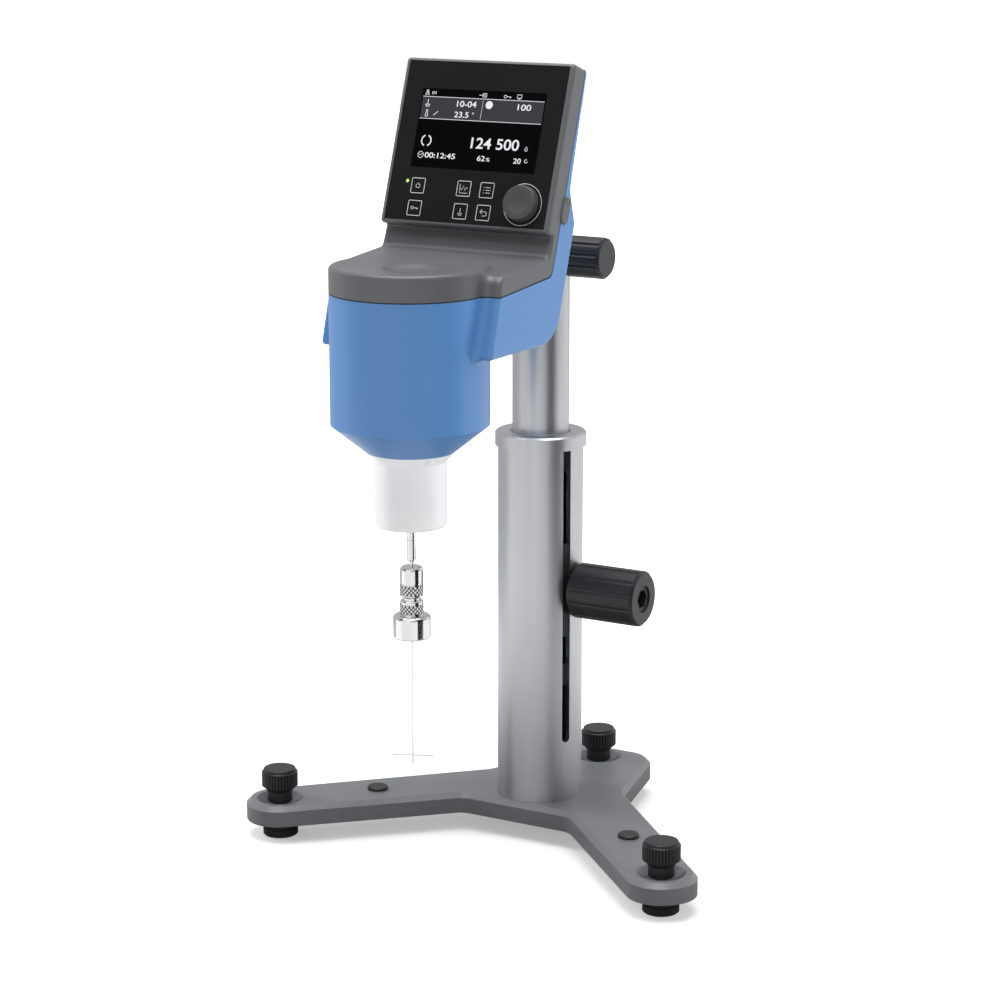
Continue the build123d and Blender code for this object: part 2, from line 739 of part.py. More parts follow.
def joins_arm_and_can(edge):
    """Whether an edge lies on the can's wall where the arm's front and underside run into it."""
    places = [edge @ share for share in (0.1, 0.5, 0.9)]
    on_wall = all(abs(sqrt(place.X**2 + (place.Y - head_y) ** 2) - can_radius) < fit for place in places)
    level = seam_z - arm_depth - fit < places[1].Z < seam_z + deck_front_rise - 0.5
    return on_wall and level and edge.geom_type != GeomType.LINE


with BuildPart() as can_form:
    with BuildSketch(head_section):
        with BuildLine():
            Polyline(*can_section, close=True)
        make_face()
    revolve(axis=head_axis)
    fillet(can_form.edges().filter_by(GeomType.CIRCLE).sort_by(Axis.Z)[-1], rim_round)

with BuildPart() as head_form:
    with BuildSketch(Plane.YZ):
        with BuildLine():
            FilletPolyline(*side_profile, radius=side_radii, close=True)
        make_face()
    extrude(amount=arm_half_width, both=True)
    fillet(head_form.faces().filter_by(Plane.YZ).edges(), side_round)
    add(can_form.part)
    fillet(head_form.edges().filter_by(joins_arm_and_can), arm_blend)

# ---------------------------------------------------------------- head: housing and cover


def shrunk_head(inset, roof):
    """The head's form drawn in all round, with the roof over the can at its own level."""
    section = [
        (0, cone_foot - 1), (cone_foot_radius - inset, cone_foot - 1),
        (cone_foot_radius - inset, cone_foot + 1),
        (can_radius - inset, can_foot + 1), (can_radius - inset, roof), (0, roof),
    ]
    with BuildPart() as core:
        with BuildSketch(Plane.YZ):
            with BuildLine():
                FilletPolyline(*side_profile, radius=side_radii, close=True)
            make_face()
            offset(amount=-inset, kind=Kind.INTERSECTION)
        extrude(amount=arm_half_width - inset, both=True)
        add(turned(section, head_section, head_axis))
    return core.part


head_hollow = shrunk_head(wall, can_roof)
groove_core = shrunk_head(seam_groove_depth, rim_top - seam_groove_depth)
gasket_reach = shrunk_head(seam_groove_depth - gasket_depth, rim_top - wall)
gasket_core = shrunk_head(seam_groove_depth - fit, rim_top - wall)


def above_seam(gap):
    """The region of the side profile that the cover takes, lifted off the seam by a gap."""
    far_y = head_y - can_radius - 20
    seam_climb = (head_y + deck_front_y, seam_z + gap)
    seam_corner = beside_display(seam_corner_v, seam_depth - gap)
    seam_top = beside_display(panel_height + 30, seam_depth - gap)
    with BuildSketch(Plane.YZ) as region:
        with BuildLine():
            FilletPolyline(
                (far_y, seam_z + gap), seam_climb, (seam_corner[0], seam_corner[1] + gap), seam_top,
                (far_y, seam_top[1]),
                radius=[1, 60, seam_corner_radius, 1, 1], close=True,
            )
        make_face()
    return region.sketch


with BuildPart() as seam_groove:
    extrude(above_seam(0), amount=2 * arm_half_width, both=True)
    extrude(above_seam(seam_gap), amount=2 * arm_half_width, both=True, mode=Mode.SUBTRACT)
    add(groove_core, mode=Mode.SUBTRACT)

with BuildPart() as seam_gasket:
    add(gasket_reach)
    extrude(above_seam(seam_rest), amount=2 * arm_half_width, both=True, mode=Mode.INTERSECT)
    extrude(above_seam(seam_gap - fit), amount=2 * arm_half_width, both=True, mode=Mode.SUBTRACT)
    add(gasket_core, mode=Mode.SUBTRACT)
    with BuildSketch(port_plane):
        SlotOverall(port_length - 2 * port_rim, port_width - 2 * port_rim)
    extrude(amount=-wall - 1, mode=Mode.SUBTRACT)
seam_gasket.part.label = "seam_gasket"
export_step(seam_gasket.part, "parts/seam_gasket.step")

with BuildPart() as housing:
    add(head_form.part)
    add(head_hollow, mode=Mode.SUBTRACT)
    extrude(above_seam(0), amount=2 * arm_half_width, both=True, mode=Mode.SUBTRACT)
    with BuildSketch(Plane.XZ.offset(-head_y)):
        with Locations((0, rod_z)):
            Circle(rod_radius + slip)
    extrude(amount=-head_offset, mode=Mode.SUBTRACT)
    with BuildSketch(port_plane):
        SlotOverall(port_length - 2 * port_rim, port_width - 2 * port_rim)
    extrude(amount=-wall - 1, mode=Mode.SUBTRACT)
    with BuildSketch(back_plane):
        with Locations((-socket_x, socket_v), (socket_x, socket_v)):
            Circle(socket_radius + fit)
    extrude(amount=-wall - 4, mode=Mode.SUBTRACT)
    with BuildSketch(Plane.XY.offset(seam_z - arm_depth)):
        with Locations(*case_screw_places):
            Circle(case_screw_radius + slip)
    extrude(amount=case_screw_head, mode=Mode.SUBTRACT)
    with BuildSketch(Plane.XY.offset(seam_z - arm_depth)):
        with Locations(*case_screw_places):
            Circle(case_screw_radius / 2 + slip)
    extrude(amount=wall, mode=Mode.SUBTRACT)
housing.part.label = "housing"
export_step(housing.part, "parts/housing.step")


def lies_in_dish(edge):
    """Whether a round edge belongs to the dish in the top of the cover."""
    centre = edge.arc_center
    level = dimple_floor - fit < centre.Z < rim_top + fit
    return level and abs(centre.X) + abs(centre.Y - head_y) < fit and edge.radius < can_radius - wall


with BuildPart() as top_cover:
    add(head_form.part)
    add(head_hollow, mode=Mode.SUBTRACT)
    extrude(above_seam(seam_rest), amount=2 * arm_half_width, both=True, mode=Mode.INTERSECT)
    add(seam_groove.part, mode=Mode.SUBTRACT)
    with BuildSketch(panel_plane):
        Rectangle(panel_width + slip, panel_height + slip, align=(Align.CENTER, Align.MIN))
    extrude(amount=-panel_thickness, mode=Mode.SUBTRACT)
    with BuildSketch(panel_plane):
        with Locations((0, screen_v)):
            Rectangle(module_width + slip, module_height + slip)
        with Locations((encoder_u, encoder_v)):
            Circle(encoder_shaft_radius + slip)
        with Locations((lamp_u, lamp_v)):
            Circle(lamp_radius + fit)
    extrude(amount=-wall - 1, mode=Mode.SUBTRACT)
    with BuildSketch(port_plane):
        SlotOverall(port_length - 2 * port_rim, port_width - 2 * port_rim)
    extrude(amount=-wall - 1, mode=Mode.SUBTRACT)
    with BuildSketch(head_section):
        with BuildLine():
            Polyline(
                (0, rim_top), (dish_radius, rim_top), (dish_floor_radius, dish_floor),
                (dimple_radius, dish_floor),
                (dimple_floor_radius, dimple_floor), (0, dimple_floor), close=True,
            )
        make_face()
    revolve(axis=head_axis, mode=Mode.SUBTRACT)
    dish_edges = top_cover.edges().filter_by(GeomType.CIRCLE).filter_by(lies_in_dish)
    fillet(dish_edges, dish_blend)
top_cover.part.label = "top_cover"
export_step(top_cover.part, "parts/top_cover.step")

with BuildPart() as case_screws:
    with BuildSketch(Plane.XY.offset(seam_z - arm_depth + 0.3)):
        with Locations(*case_screw_places):
            Circle(case_screw_radius)
    extrude(amount=case_screw_head - 0.3)
    with BuildSketch(Plane.XY.offset(seam_z - arm_depth + case_screw_head)):
        with Locations(*case_screw_places):
            Circle(case_screw_radius / 2)
    extrude(amount=case_screw_length)
    with BuildSketch(Plane.XY.offset(seam_z - arm_depth + 0.3)):
        with Locations(*case_screw_places):
            RegularPolygon(case_screw_radius / 2, 6)
    extrude(amount=case_screw_head / 2, mode=Mode.SUBTRACT)
case_screws.part.label = "case_screws"
export_step(case_screws.part, "parts/case_screws.step")

# ---------------------------------------------------------------- head: front panel, display and controls
with BuildPart() as front_panel:
    with BuildSketch(panel_plane):
        Rectangle(panel_width, panel_height, align=(Align.CENTER, Align.MIN))
        with Locations((encoder_u, encoder_v)):
            Circle(encoder_shaft_radius + slip, mode=Mode.SUBTRACT)
        with Locations((lamp_u, lamp_v)):
            Circle(lamp_radius + fit, mode=Mode.SUBTRACT)
    extrude(amount=-panel_thickness)
front_panel.part.label = "front_panel"
export_step(front_panel.part, "parts/front_panel.step")

board_depth = wall + encoder_body_depth
with BuildPart() as display_module:
    with BuildSketch(panel_plane.offset(-panel_thickness)):
        with Locations((0, screen_v)):
            Rectangle(module_width, module_height)
    extrude(amount=-module_thickness)
    with BuildSketch(panel_plane.offset(-panel_thickness)):
        with Locations((0, screen_v)):
            Rectangle(screen_width, screen_height)
    extrude(amount=-0.4, mode=Mode.SUBTRACT)
    with BuildSketch(panel_plane.offset(-panel_thickness - module_thickness)):
        with Locations((0, screen_v - module_height / 4)):
            Rectangle(module_width / 3, 12)
    extrude(amount=-(board_depth - panel_thickness - module_thickness))
display_module.part.label = "display_module"
export_step(display_module.part, "parts/display_module.step")

with BuildPart() as main_board:
    with BuildSketch(panel_plane.offset(-board_depth)):
        with Locations((0, board_v)):
            Rectangle(board_width, board_height)
        with Locations((-board_width / 2 + 5, board_v), (board_width / 2 - 5, board_v)):
            with GridLocations(0, board_height - 10, 1, 2):
                Circle(1.6, mode=Mode.SUBTRACT)
    extrude(amount=-board_thickness)
    with BuildSketch(panel_plane.offset(-board_depth - board_thickness)):
        with Locations((-20, board_v), (18, board_v + 12)):
            Rectangle(14, 14)
        with Locations((18, board_v - 18)):
            Rectangle(22, 9)
    extrude(amount=-1.4)
main_board.part.label = "main_board"
export_step(main_board.part, "parts/main_board.step")

with BuildPart() as encoder_case:
    with BuildSketch(panel_plane.offset(-wall)):
        with Locations((encoder_u, encoder_v)):
            Rectangle(encoder_body, encoder_body)
            Circle(encoder_shaft_radius + fit, mode=Mode.SUBTRACT)
    extrude(amount=-encoder_body_depth)
encoder_case.part.label = "encoder_case"
export_step(encoder_case.part, "parts/encoder_case.step")

with BuildPart() as encoder_shaft:
    with BuildSketch(panel_plane.offset(-board_depth + encoder_press + slip)):
        with Locations((encoder_u, encoder_v)):
            Circle(encoder_shaft_radius)
    extrude(
        amount=board_depth - encoder_press - slip + encoder_knob_lift + encoder_knob_height - encoder_knob_top
    )
encoder_shaft.part.label = "encoder_shaft"
export_step(encoder_shaft.part, "parts/encoder_shaft.step")

encoder_place = panel_plane.from_local_coords((encoder_u, encoder_v, 0))
encoder_axis = Axis(encoder_place, panel_plane.z_dir)
encoder_section = Plane(origin=encoder_place, x_dir=(1, 0, 0), z_dir=-panel_plane.y_dir)
knob_top = encoder_knob_lift + encoder_knob_height
knob_ceiling = knob_top - encoder_knob_top + fit
with BuildPart() as encoder_knob:
    with BuildSketch(encoder_section):
        with BuildLine():
            Polyline(
                (encoder_dish_radius, knob_top), (encoder_knob_radius, knob_top),
                (encoder_knob_radius, encoder_knob_lift + 1.2),
                (encoder_knob_radius + encoder_skirt, encoder_knob_lift),
                (encoder_shaft_radius + fit, encoder_knob_lift),
                (encoder_shaft_radius + fit, knob_ceiling), (0, knob_ceiling),
                (0, knob_top - encoder_dish_depth),
            )
            ThreePointArc(
                (0, knob_top - encoder_dish_depth),
                (encoder_dish_radius / 2, knob_top - encoder_dish_depth * 0.8),
                (encoder_dish_radius, knob_top),
            )
        make_face()
    revolve(axis=encoder_axis)
    rim = encoder_knob.edges().filter_by(GeomType.CIRCLE).filter_by(
        lambda edge: abs(edge.radius - encoder_knob_radius) < fit
    )
    fillet(rim.sort_by(Axis.Z)[-1], encoder_round)
encoder_knob.part.label = "encoder_knob"
export_step(encoder_knob.part, "parts/encoder_knob.step")

with BuildPart() as status_lamp:
    with BuildSketch(panel_plane):
        with Locations((lamp_u, lamp_v)):
            Circle(lamp_radius)
    extrude(amount=-board_depth)
status_lamp.part.label = "status_lamp"
export_step(status_lamp.part, "parts/status_lamp.step")

with BuildPart() as port_cover:
    with BuildSketch(port_plane):
        SlotOverall(port_length, port_width)
    extrude(amount=port_flange)
    fillet(port_cover.faces().sort_by(Axis.X)[-1].edges(), port_flange * 0.6)
    with BuildSketch(port_plane):
        SlotOverall(port_length - 2 * port_rim - 2 * slip, port_width - 2 * port_rim - 2 * slip)
    extrude(amount=-port_plug_depth)
port_cover.part.label = "port_cover"
export_step(port_cover.part, "parts/port_cover.step")

with BuildPart() as data_socket:
    with BuildSketch(port_plane.offset(-wall)):
        Rectangle(port_length - 1, port_width - 0.6)
    extrude(amount=-1.2)
    with BuildSketch(port_plane.offset(-wall - 1.2)):
        Rectangle(data_socket_length, data_socket_height)
    extrude(amount=-data_socket_depth)
    with BuildSketch(port_plane.offset(-wall)):
        Rectangle(data_socket_length - 1, data_socket_height - 1)
    extrude(amount=-data_socket_depth + 1, mode=Mode.SUBTRACT)
    with BuildSketch(port_plane.offset(-wall)):
        Rectangle(data_socket_length - 3, 1.2)
    extrude(amount=-data_socket_depth)
data_socket.part.label = "data_socket"
export_step(data_socket.part, "parts/data_socket.step")

for name, side, pin_radius in (("power_socket", 1, 1.0), ("probe_socket", -1, 0.6)):
    with BuildPart() as socket:
        with BuildSketch(back_plane):
            with Locations((side * socket_x, socket_v)):
                Circle(socket_radius + 1.4)
        extrude(amount=socket_flange)
        with BuildSketch(back_plane):
            with Locations((side * socket_x, socket_v)):
                Circle(socket_radius)
        extrude(amount=-socket_length)
        with BuildSketch(back_plane.offset(socket_flange)):
            with Locations((side * socket_x, socket_v)):
                Circle(socket_radius - 2)
                Circle(pin_radius, mode=Mode.SUBTRACT)
        extrude(amount=-socket_length, mode=Mode.SUBTRACT)
    socket.part.label = name
    export_step(socket.part, f"parts/{name}.step")

# ---------------------------------------------------------------- head: inside
with BuildPart() as support_rod:
    with BuildSketch(Plane.XZ.offset(-head_y - bracket_y)):
        with Locations((0, rod_z)):
            Circle(rod_radius)
    extrude(amount=-(head_offset - bracket_y + rod_rear))
    chamfer(support_rod.edges().filter_by(GeomType.CIRCLE).sort_by(Axis.Y)[-1], 0.8)
support_rod.part.label = "support_rod"
export_step(support_rod.part, "parts/support_rod.step")

with BuildPart() as rod_bracket:
    with BuildSketch(Plane.XZ.offset(-head_y - bracket_y)):
        with Locations((0, chassis_top)):
            Rectangle(2 * bracket_half_width, rod_z - chassis_top, align=(Align.CENTER, Align.MIN))
        with Locations((0, rod_z)):
            Circle(rod_radius + 1.2)
            Circle(rod_radius + fit, mode=Mode.SUBTRACT)
    extrude(amount=-bracket_thickness)
rod_bracket.part.label = "rod_bracket"
export_step(rod_bracket.part, "parts/rod_bracket.step")

chassis_rear = head_y + bracket_y + bracket_thickness
with BuildPart() as chassis_plate:
    with BuildSketch(Plane.XY.offset(arm_floor)):
        with Locations((0, chassis_rear)):
            Rectangle(
                2 * chassis_half_width, bracket_y + bracket_thickness + chassis_front,
                align=(Align.CENTER, Align.MAX)
            )
            Rectangle(2 * chassis_wing, chassis_wing_length, align=(Align.CENTER, Align.MAX))
        with Locations((0, head_y)):
            Circle(motor_radius / 2, mode=Mode.SUBTRACT)
        with Locations(*[place for place in case_screw_places if place[1] > head_y + case_screw_front]):
            Circle(case_screw_radius / 2 + slip, mode=Mode.SUBTRACT)
    extrude(amount=chassis_thickness)
chassis_plate.part.label = "chassis_plate"
export_step(chassis_plate.part, "parts/chassis_plate.step")

motor = turned(
    [
        (0, chassis_top), (motor_radius, chassis_top), (motor_radius, motor_top - motor_bevel),
        (motor_radius - motor_bevel, motor_top), (0, motor_top),
    ],
    head_section, head_axis,
)
motor.label = "motor"
export_step(motor, "parts/motor.step")

gear_unit = turned(
    [
        (0, sensor_top), (gear_unit_radius, sensor_top), (gear_unit_radius, arm_floor),
        (motor_radius / 2 - slip, arm_floor), (motor_radius / 2 - slip, chassis_top), (0, chassis_top),
    ],
    head_section, head_axis,
)
gear_unit.label = "gear_unit"
export_step(gear_unit, "parts/gear_unit.step")

sensor_foot = sensor_top - torque_sensor_height
shaft_end = sensor_top - shaft_socket
torque_sensor = turned(
    [
        (shaft_radius + fit, sensor_foot), (torque_sensor_radius, sensor_foot),
        (torque_sensor_radius, sensor_top),
        (0, sensor_top), (0, shaft_end + shaft_end_play),
        (shaft_radius + fit, shaft_end + shaft_end_play),
    ],
    head_section, head_axis,
)
torque_sensor.label = "torque_sensor"
export_step(torque_sensor, "parts/torque_sensor.step")

# ---------------------------------------------------------------- nose
nose_bore = nose_radius - nose_wall
bearing_foot = nose_foot + nose_wall
with BuildPart() as nose:
    with BuildSketch(head_section):
        with BuildLine():
            Polyline(
                (shaft_radius + 1.5, nose_foot), (nose_radius, nose_foot),
                (nose_radius, cone_foot - nose_taper),
                (cone_foot_radius, cone_foot), (cone_foot_radius - wall - fit, cone_foot),
                (cone_foot_radius - wall - fit, cone_foot + nose_spigot),
                (nose_bore, cone_foot + nose_spigot),
                (nose_bore, bearing_foot + bearing_height),
                (bearing_radius + fit, bearing_foot + bearing_height),
                (bearing_radius + fit, bearing_foot), (shaft_radius + 1.5, bearing_foot), close=True,
            )
        make_face()
    revolve(axis=head_axis)
    fillet(
        nose.edges().filter_by(GeomType.CIRCLE).group_by(Axis.Z)[0].sort_by(SortBy.RADIUS)[-1], nose_round
    )
nose.part.label = "nose"
export_step(nose.part, "parts/nose.step")

cone_step = cone_foot_radius - nose_radius
head_place = (0, head_y, cone_foot)
nose_screw_out = (cos(radians(nose_screw_angle)), sin(radians(nose_screw_angle)))
nose_screw_direction = (nose_screw_out[0] * nose_taper, nose_screw_out[1] * nose_taper, -cone_step)
nose_screw_middle = nose_radius + cone_step / 2
with BuildPart() as nose_screw:
    with BuildSketch(
        Plane(
            origin=(
                nose_screw_out[0] * nose_screw_middle, head_y + nose_screw_out[1] * nose_screw_middle,
                cone_foot - nose_taper / 2,
            ),
            z_dir=nose_screw_direction,
        )
    ):
        Circle(nose_screw_radius)
    extrude(amount=nose_screw_height)
    fillet(
        nose_screw.faces().sort_by(Axis(head_place, nose_screw_direction))[-1].edges(), nose_screw_round
    )
nose_screw.part.label = "nose_screw"
export_step(nose_screw.part, "parts/nose_screw.step")

bearing_top = bearing_foot + bearing_height
shaft_bearing = turned(
    [
        (shaft_radius + fit, bearing_foot), (bearing_radius, bearing_foot), (bearing_radius, bearing_top),
        (shaft_radius + fit, bearing_top),
    ],
    head_section, head_axis,
)
shaft_bearing.label = "shaft_bearing"
export_step(shaft_bearing, "parts/shaft_bearing.step")

# ---------------------------------------------------------------- spindle train
ring = shaft_foot + shaft_ring_height
ring_radius = shaft_radius - groove_depth
drive_shaft = turned(
    [
        (0, shaft_foot), (shaft_radius - small_chamfer, shaft_foot),
        (shaft_radius, shaft_foot + small_chamfer),
        (shaft_radius, ring), (ring_radius, ring), (ring_radius, ring + groove_width),
        (shaft_radius, ring + groove_width), (shaft_radius, shaft_end), (0, shaft_end),
    ],
    head_section, head_axis,
)
drive_shaft.label = "drive_shaft"
export_step(drive_shaft, "parts/drive_shaft.step")

with BuildPart() as hook_link:
    with BuildSketch(Plane.XY.offset(chuck_top)):
        with Locations((0, head_y)):
            Circle(hook_radius)
    extrude(amount=hook_length)
hook_link.part.label = "hook_link"
export_step(hook_link.part, "parts/hook_link.step")

chuck_foot = chuck_top - chuck_length
band_top = chuck_top - chuck_shoulder
band_foot = chuck_foot + chuck_lip
groove_radius = chuck_radius - groove_depth


def rounded_end(piece, radius, level, amount):
    """Rounds the outer edge of a turned piece at one level."""
    rims = piece.edges().filter_by(GeomType.CIRCLE).filter_by(
        lambda edge: abs(edge.radius - radius) < fit
    )
    fillet(rims.sort_by(lambda edge: abs(edge.center().Z - level))[0], amount)


with BuildPart() as chuck:
    with BuildSketch(head_section):
        with BuildLine():
            Polyline(
                (0, chuck_top), (chuck_radius, chuck_top), (chuck_radius, band_top + groove_width),
                (groove_radius, band_top + groove_width), (groove_radius, band_top),
                (chuck_radius, band_top),
                (chuck_radius, band_foot), (closer_neck_radius, chuck_foot), (0, chuck_foot), close=True,
            )
        make_face()
    revolve(axis=head_axis)
    rounded_end(chuck, chuck_radius, chuck_top, chuck_round)
chuck.part.label = "chuck"
export_step(chuck.part, "parts/chuck.step")

closer_head = weight_top + closer_length
with BuildPart() as closer:
    with BuildSketch(head_section):
        with BuildLine():
            Polyline(
                (bar_radius + fit, chuck_foot), (closer_neck_radius, chuck_foot),
                (closer_neck_radius, closer_head),
                (closer_radius, closer_head), (closer_radius, weight_top),
                (bar_radius + fit, weight_top), close=True,
            )
        make_face()
    revolve(axis=head_axis)
    rounded_end(closer, closer_radius, closer_head, closer_round)
closer.part.label = "closer"
export_step(closer.part, "parts/closer.step")

with BuildPart() as weight:
    with BuildSketch(head_section):
        with BuildLine():
            Polyline(
                (bar_radius, weight_foot), (weight_radius, weight_foot), (weight_radius, weight_top),
                (bar_radius, weight_top),
                close=True,
            )
        make_face()
    revolve(axis=head_axis)
    rounded_end(weight, weight_radius, weight_foot, weight_round)
    rounded_end(weight, weight_radius, weight_top, weight_shoulder)
weight.part.label = "weight"
export_step(weight.part, "parts/weight.step")

bar_foot = weight_foot - bar_length
with BuildPart() as t_bar:
    with BuildSketch(Plane.XY.offset(bar_foot)):
        with Locations((0, head_y)):
            Circle(bar_radius)
    extrude(amount=chuck_foot - bar_foot)
    cross_direction = (cos(radians(cross_angle)), sin(radians(cross_angle)), 0)
    with BuildSketch(Plane(origin=(0, head_y, bar_foot + cross_above_foot), z_dir=cross_direction)):
        Circle(bar_radius)
    extrude(amount=cross_length / 2, both=True)
t_bar.part.label = "t_bar"
export_step(t_bar.part, "parts/t_bar.step")
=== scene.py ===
# %% [markdown]
# # A rotational viscometer
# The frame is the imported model: every rigid piece at its real size and place, in metres. This script gives
# those pieces their finishes, and adds what a solid model leaves out: the picture on the display, the printed
# keys, the knurling and the small trim. Nothing of the frame is moved.

# %% Load the frame
import json
from math import atan2, cos, pi, radians, sin

import bpy
from mathutils import Matrix, Vector


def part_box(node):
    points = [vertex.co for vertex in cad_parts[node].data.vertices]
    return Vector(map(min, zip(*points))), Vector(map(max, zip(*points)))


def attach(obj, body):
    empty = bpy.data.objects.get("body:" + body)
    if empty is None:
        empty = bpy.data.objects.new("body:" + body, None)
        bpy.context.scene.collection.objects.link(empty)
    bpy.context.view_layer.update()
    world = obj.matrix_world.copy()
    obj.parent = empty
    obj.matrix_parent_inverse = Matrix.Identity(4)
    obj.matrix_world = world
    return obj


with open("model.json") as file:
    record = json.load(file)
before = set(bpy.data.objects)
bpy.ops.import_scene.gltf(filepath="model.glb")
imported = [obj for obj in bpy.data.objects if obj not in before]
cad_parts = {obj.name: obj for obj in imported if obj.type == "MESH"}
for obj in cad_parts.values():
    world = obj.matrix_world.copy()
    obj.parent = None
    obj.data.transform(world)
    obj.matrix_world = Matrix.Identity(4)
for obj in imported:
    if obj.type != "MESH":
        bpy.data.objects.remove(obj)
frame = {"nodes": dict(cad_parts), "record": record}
scene = bpy.context.scene
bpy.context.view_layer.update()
nodes = frame["nodes"]

# %% [markdown]
# ## Places
# The stand's column stands at one place and the head hangs in front of it. Both are read from the frame, so
# that a new size of the model carries the added pieces with it. The display leans back, and its own
# directions, right, up and out, make it easy to say where a key or a digit sits on the panel.

# %% Places on the display
MM = 0.001


def middle(node):
    low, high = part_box(node)
    return (low + high) / 2


column = middle("column_tube")
spindle = middle("drive_shaft")
tilt = radians(19.0)
panel_right = Vector((1, 0, 0))
panel_up = Vector((0, sin(tilt), cos(tilt)))
panel_out = Vector((0, -cos(tilt), sin(tilt)))
panel_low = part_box("front_panel")[0]
panel_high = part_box("front_panel")[1]
panel_width = panel_high.x - panel_low.x
panel_thickness = 1.6 * MM
panel_foot = Vector((0, panel_low.y, panel_low.z + panel_thickness * sin(tilt)))
print("panel", round(panel_width, 4), "foot", panel_foot)


def on_panel(u, v, out=0.0):
    """A point of the panel's face: u to the right of its middle, v up from its lower edge, in millimetres."""
    return panel_foot + panel_right * u * MM + panel_up * v * MM + panel_out * out * MM


panel_turn = Matrix((panel_right, panel_up, panel_out)).transposed().to_4x4()

# %% [markdown]
# ## A small language for finishes
# A finish is a tree of shader nodes. Written out link by link it is hard to read, so one class wraps a socket
# and overloads the operators: `0.4 + grain * 0.1` adds the two Math nodes by itself. A second class holds one
# material and makes every other node from a type, its settings and the values of its sockets.

# %% Shader sockets as values


class Value:
    """One output socket of a shader tree, usable in an expression."""

    def __init__(self, tree, socket):
        self.tree = tree
        self.socket = socket

    def math(self, operation, first, second=0.0):
        node = self.tree.nodes.new("ShaderNodeMath")
        node.operation = operation
        for place, value in zip(node.inputs, (first, second)):
            feed(self.tree, place, value)
        return Value(self.tree, node.outputs[0])

    def __add__(self, other):
        return self.math("ADD", self, other)

    def __mul__(self, other):
        return self.math("MULTIPLY", self, other)

    def __sub__(self, other):
        return self.math("SUBTRACT", self, other)

    def __rsub__(self, other):
        return self.math("SUBTRACT", other, self)

    def __gt__(self, other):
        return self.math("GREATER_THAN", self, other)

    __radd__ = __add__
    __rmul__ = __mul__


def feed(tree, place, value):
    """Links a Value to a socket, or writes a number or a colour on it."""
    if isinstance(value, Value):
        tree.links.new(value.socket, place)
    elif isinstance(value, tuple) and len(value) == 3 and place.type == "RGBA":
        place.default_value = (*value, 1.0)
    else:
        place.default_value = value


class Finish:
    """A material under construction: one Principled shader and what feeds it."""

    def __init__(self, name, color, roughness, metallic=0.0, **constants):
        self.material = bpy.data.materials.new(name)
        self.material.use_nodes = True
        self.tree = self.material.node_tree
        self.shader = self.tree.nodes["Principled BSDF"]
        self.color = color
        self.set("Base Color", color)
        self.set("Roughness", roughness)
        self.set("Metallic", metallic)
        for key, value in constants.items():
            self.set(key.replace("_", " "), value)

    def set(self, socket, value):
        feed(self.tree, self.shader.inputs[socket], value)
        return self

    def node(self, kind, settings=None, values=None, output=0):
        made = self.tree.nodes.new("ShaderNode" + kind)
        for key, value in (settings or {}).items():
            setattr(made, key, value)
        for key, value in (values or {}).items():
            feed(self.tree, made.inputs[key], value)
        return Value(self.tree, made.outputs[output])

    def place(self, stretch=(1.0, 1.0, 1.0), turn=(0.0, 0.0, 0.0)):
        """The point on the piece, in metres, scaled so that a pattern runs with the material."""
        here = self.node("TexCoord", output="Object")
        return self.node("Mapping", values={"Vector": here, "Scale": stretch, "Rotation": turn})

    def noise(self, size, detail=2.0, stretch=(1.0, 1.0, 1.0), turn=(0.0, 0.0, 0.0)):
        """Random grains of about this size in metres, from 0 to 1."""
        where = self.place(stretch, turn)
        return self.node("TexNoise", values={"Vector": where, "Scale": 1.0 / size, "Detail": detail})

    def blend(self, factor, first, second):
        """One colour turning into another."""
        mixer = self.tree.nodes.new("ShaderNodeMix")
        mixer.data_type = "RGBA"
        feed(self.tree, mixer.inputs[0], factor)
        feed(self.tree, mixer.inputs[6], first)
        feed(self.tree, mixer.inputs[7], second)
        return Value(self.tree, mixer.outputs[2])

    def vary(self, amount, size=0.02):
        """Lets the base colour drift a little lighter and darker over the surface."""
        drift = self.noise(size, 3.0)
        dark = tuple(c * (1 - amount) for c in self.color)
        light = tuple(min(1.0, c * (1 + amount)) for c in self.color)
        return self.set("Base Color", self.blend(drift, dark, light))

    def bump(self, height, depth, strength=1.0):
        """Raises the surface by height (0 to 1) times a depth in metres."""
        relief = self.node(
            "Bump", values={"Height": height, "Distance": depth, "Strength": strength}, output="Normal"
        )
        return self.set("Normal", relief)


# %% [markdown]
# ## Finishes
# Each finish is named for what it covers on this instrument. The base is powder coated, so it has a fine
# pebble. The column tubes are drawn and anodised, with faint lines along their length. The turned parts carry
# rings round their own axis. The housings are moulded, with a very fine grain that keeps the highlights soft.

# %% Painted and moulded surfaces


def powder_coat():
    coat = Finish("base_powder_coat", (0.145, 0.153, 0.164), 0.4, Specular_IOR_Level=0.8)
    pebble = coat.noise(0.0011, 3.0)
    coat.vary(0.08, 0.03)
    coat.set("Roughness", 0.32 + pebble * 0.14)
    coat.bump(pebble, 0.00012, 0.7)
    return coat.material


def moulded(name, color, roughness, grain=0.0006, relief=0.00004, shine=0.5):
    """A moulded plastic with an eroded, very fine grain."""
    plastic = Finish(name, color, roughness, Specular_IOR_Level=shine)
    texture = plastic.noise(grain, 2.0)
    plastic.vary(0.05, 0.04)
    plastic.set("Roughness", roughness - 0.05 + texture * 0.1)
    plastic.bump(texture, relief, 0.5)
    return plastic.material


def housing_paint():
    """Satin paint over the moulding: a faint orange peel under a thin clear coat."""
    paint = Finish("housing_blue", (0.075, 0.22, 0.5), 0.42, Coat_Weight=0.3, Coat_Roughness=0.26)
    peel = paint.noise(0.0035, 2.0)
    paint.vary(0.035, 0.05)
    paint.set("Roughness", 0.38 + peel * 0.08)
    paint.bump(peel, 0.00006, 0.35)
    return paint.material


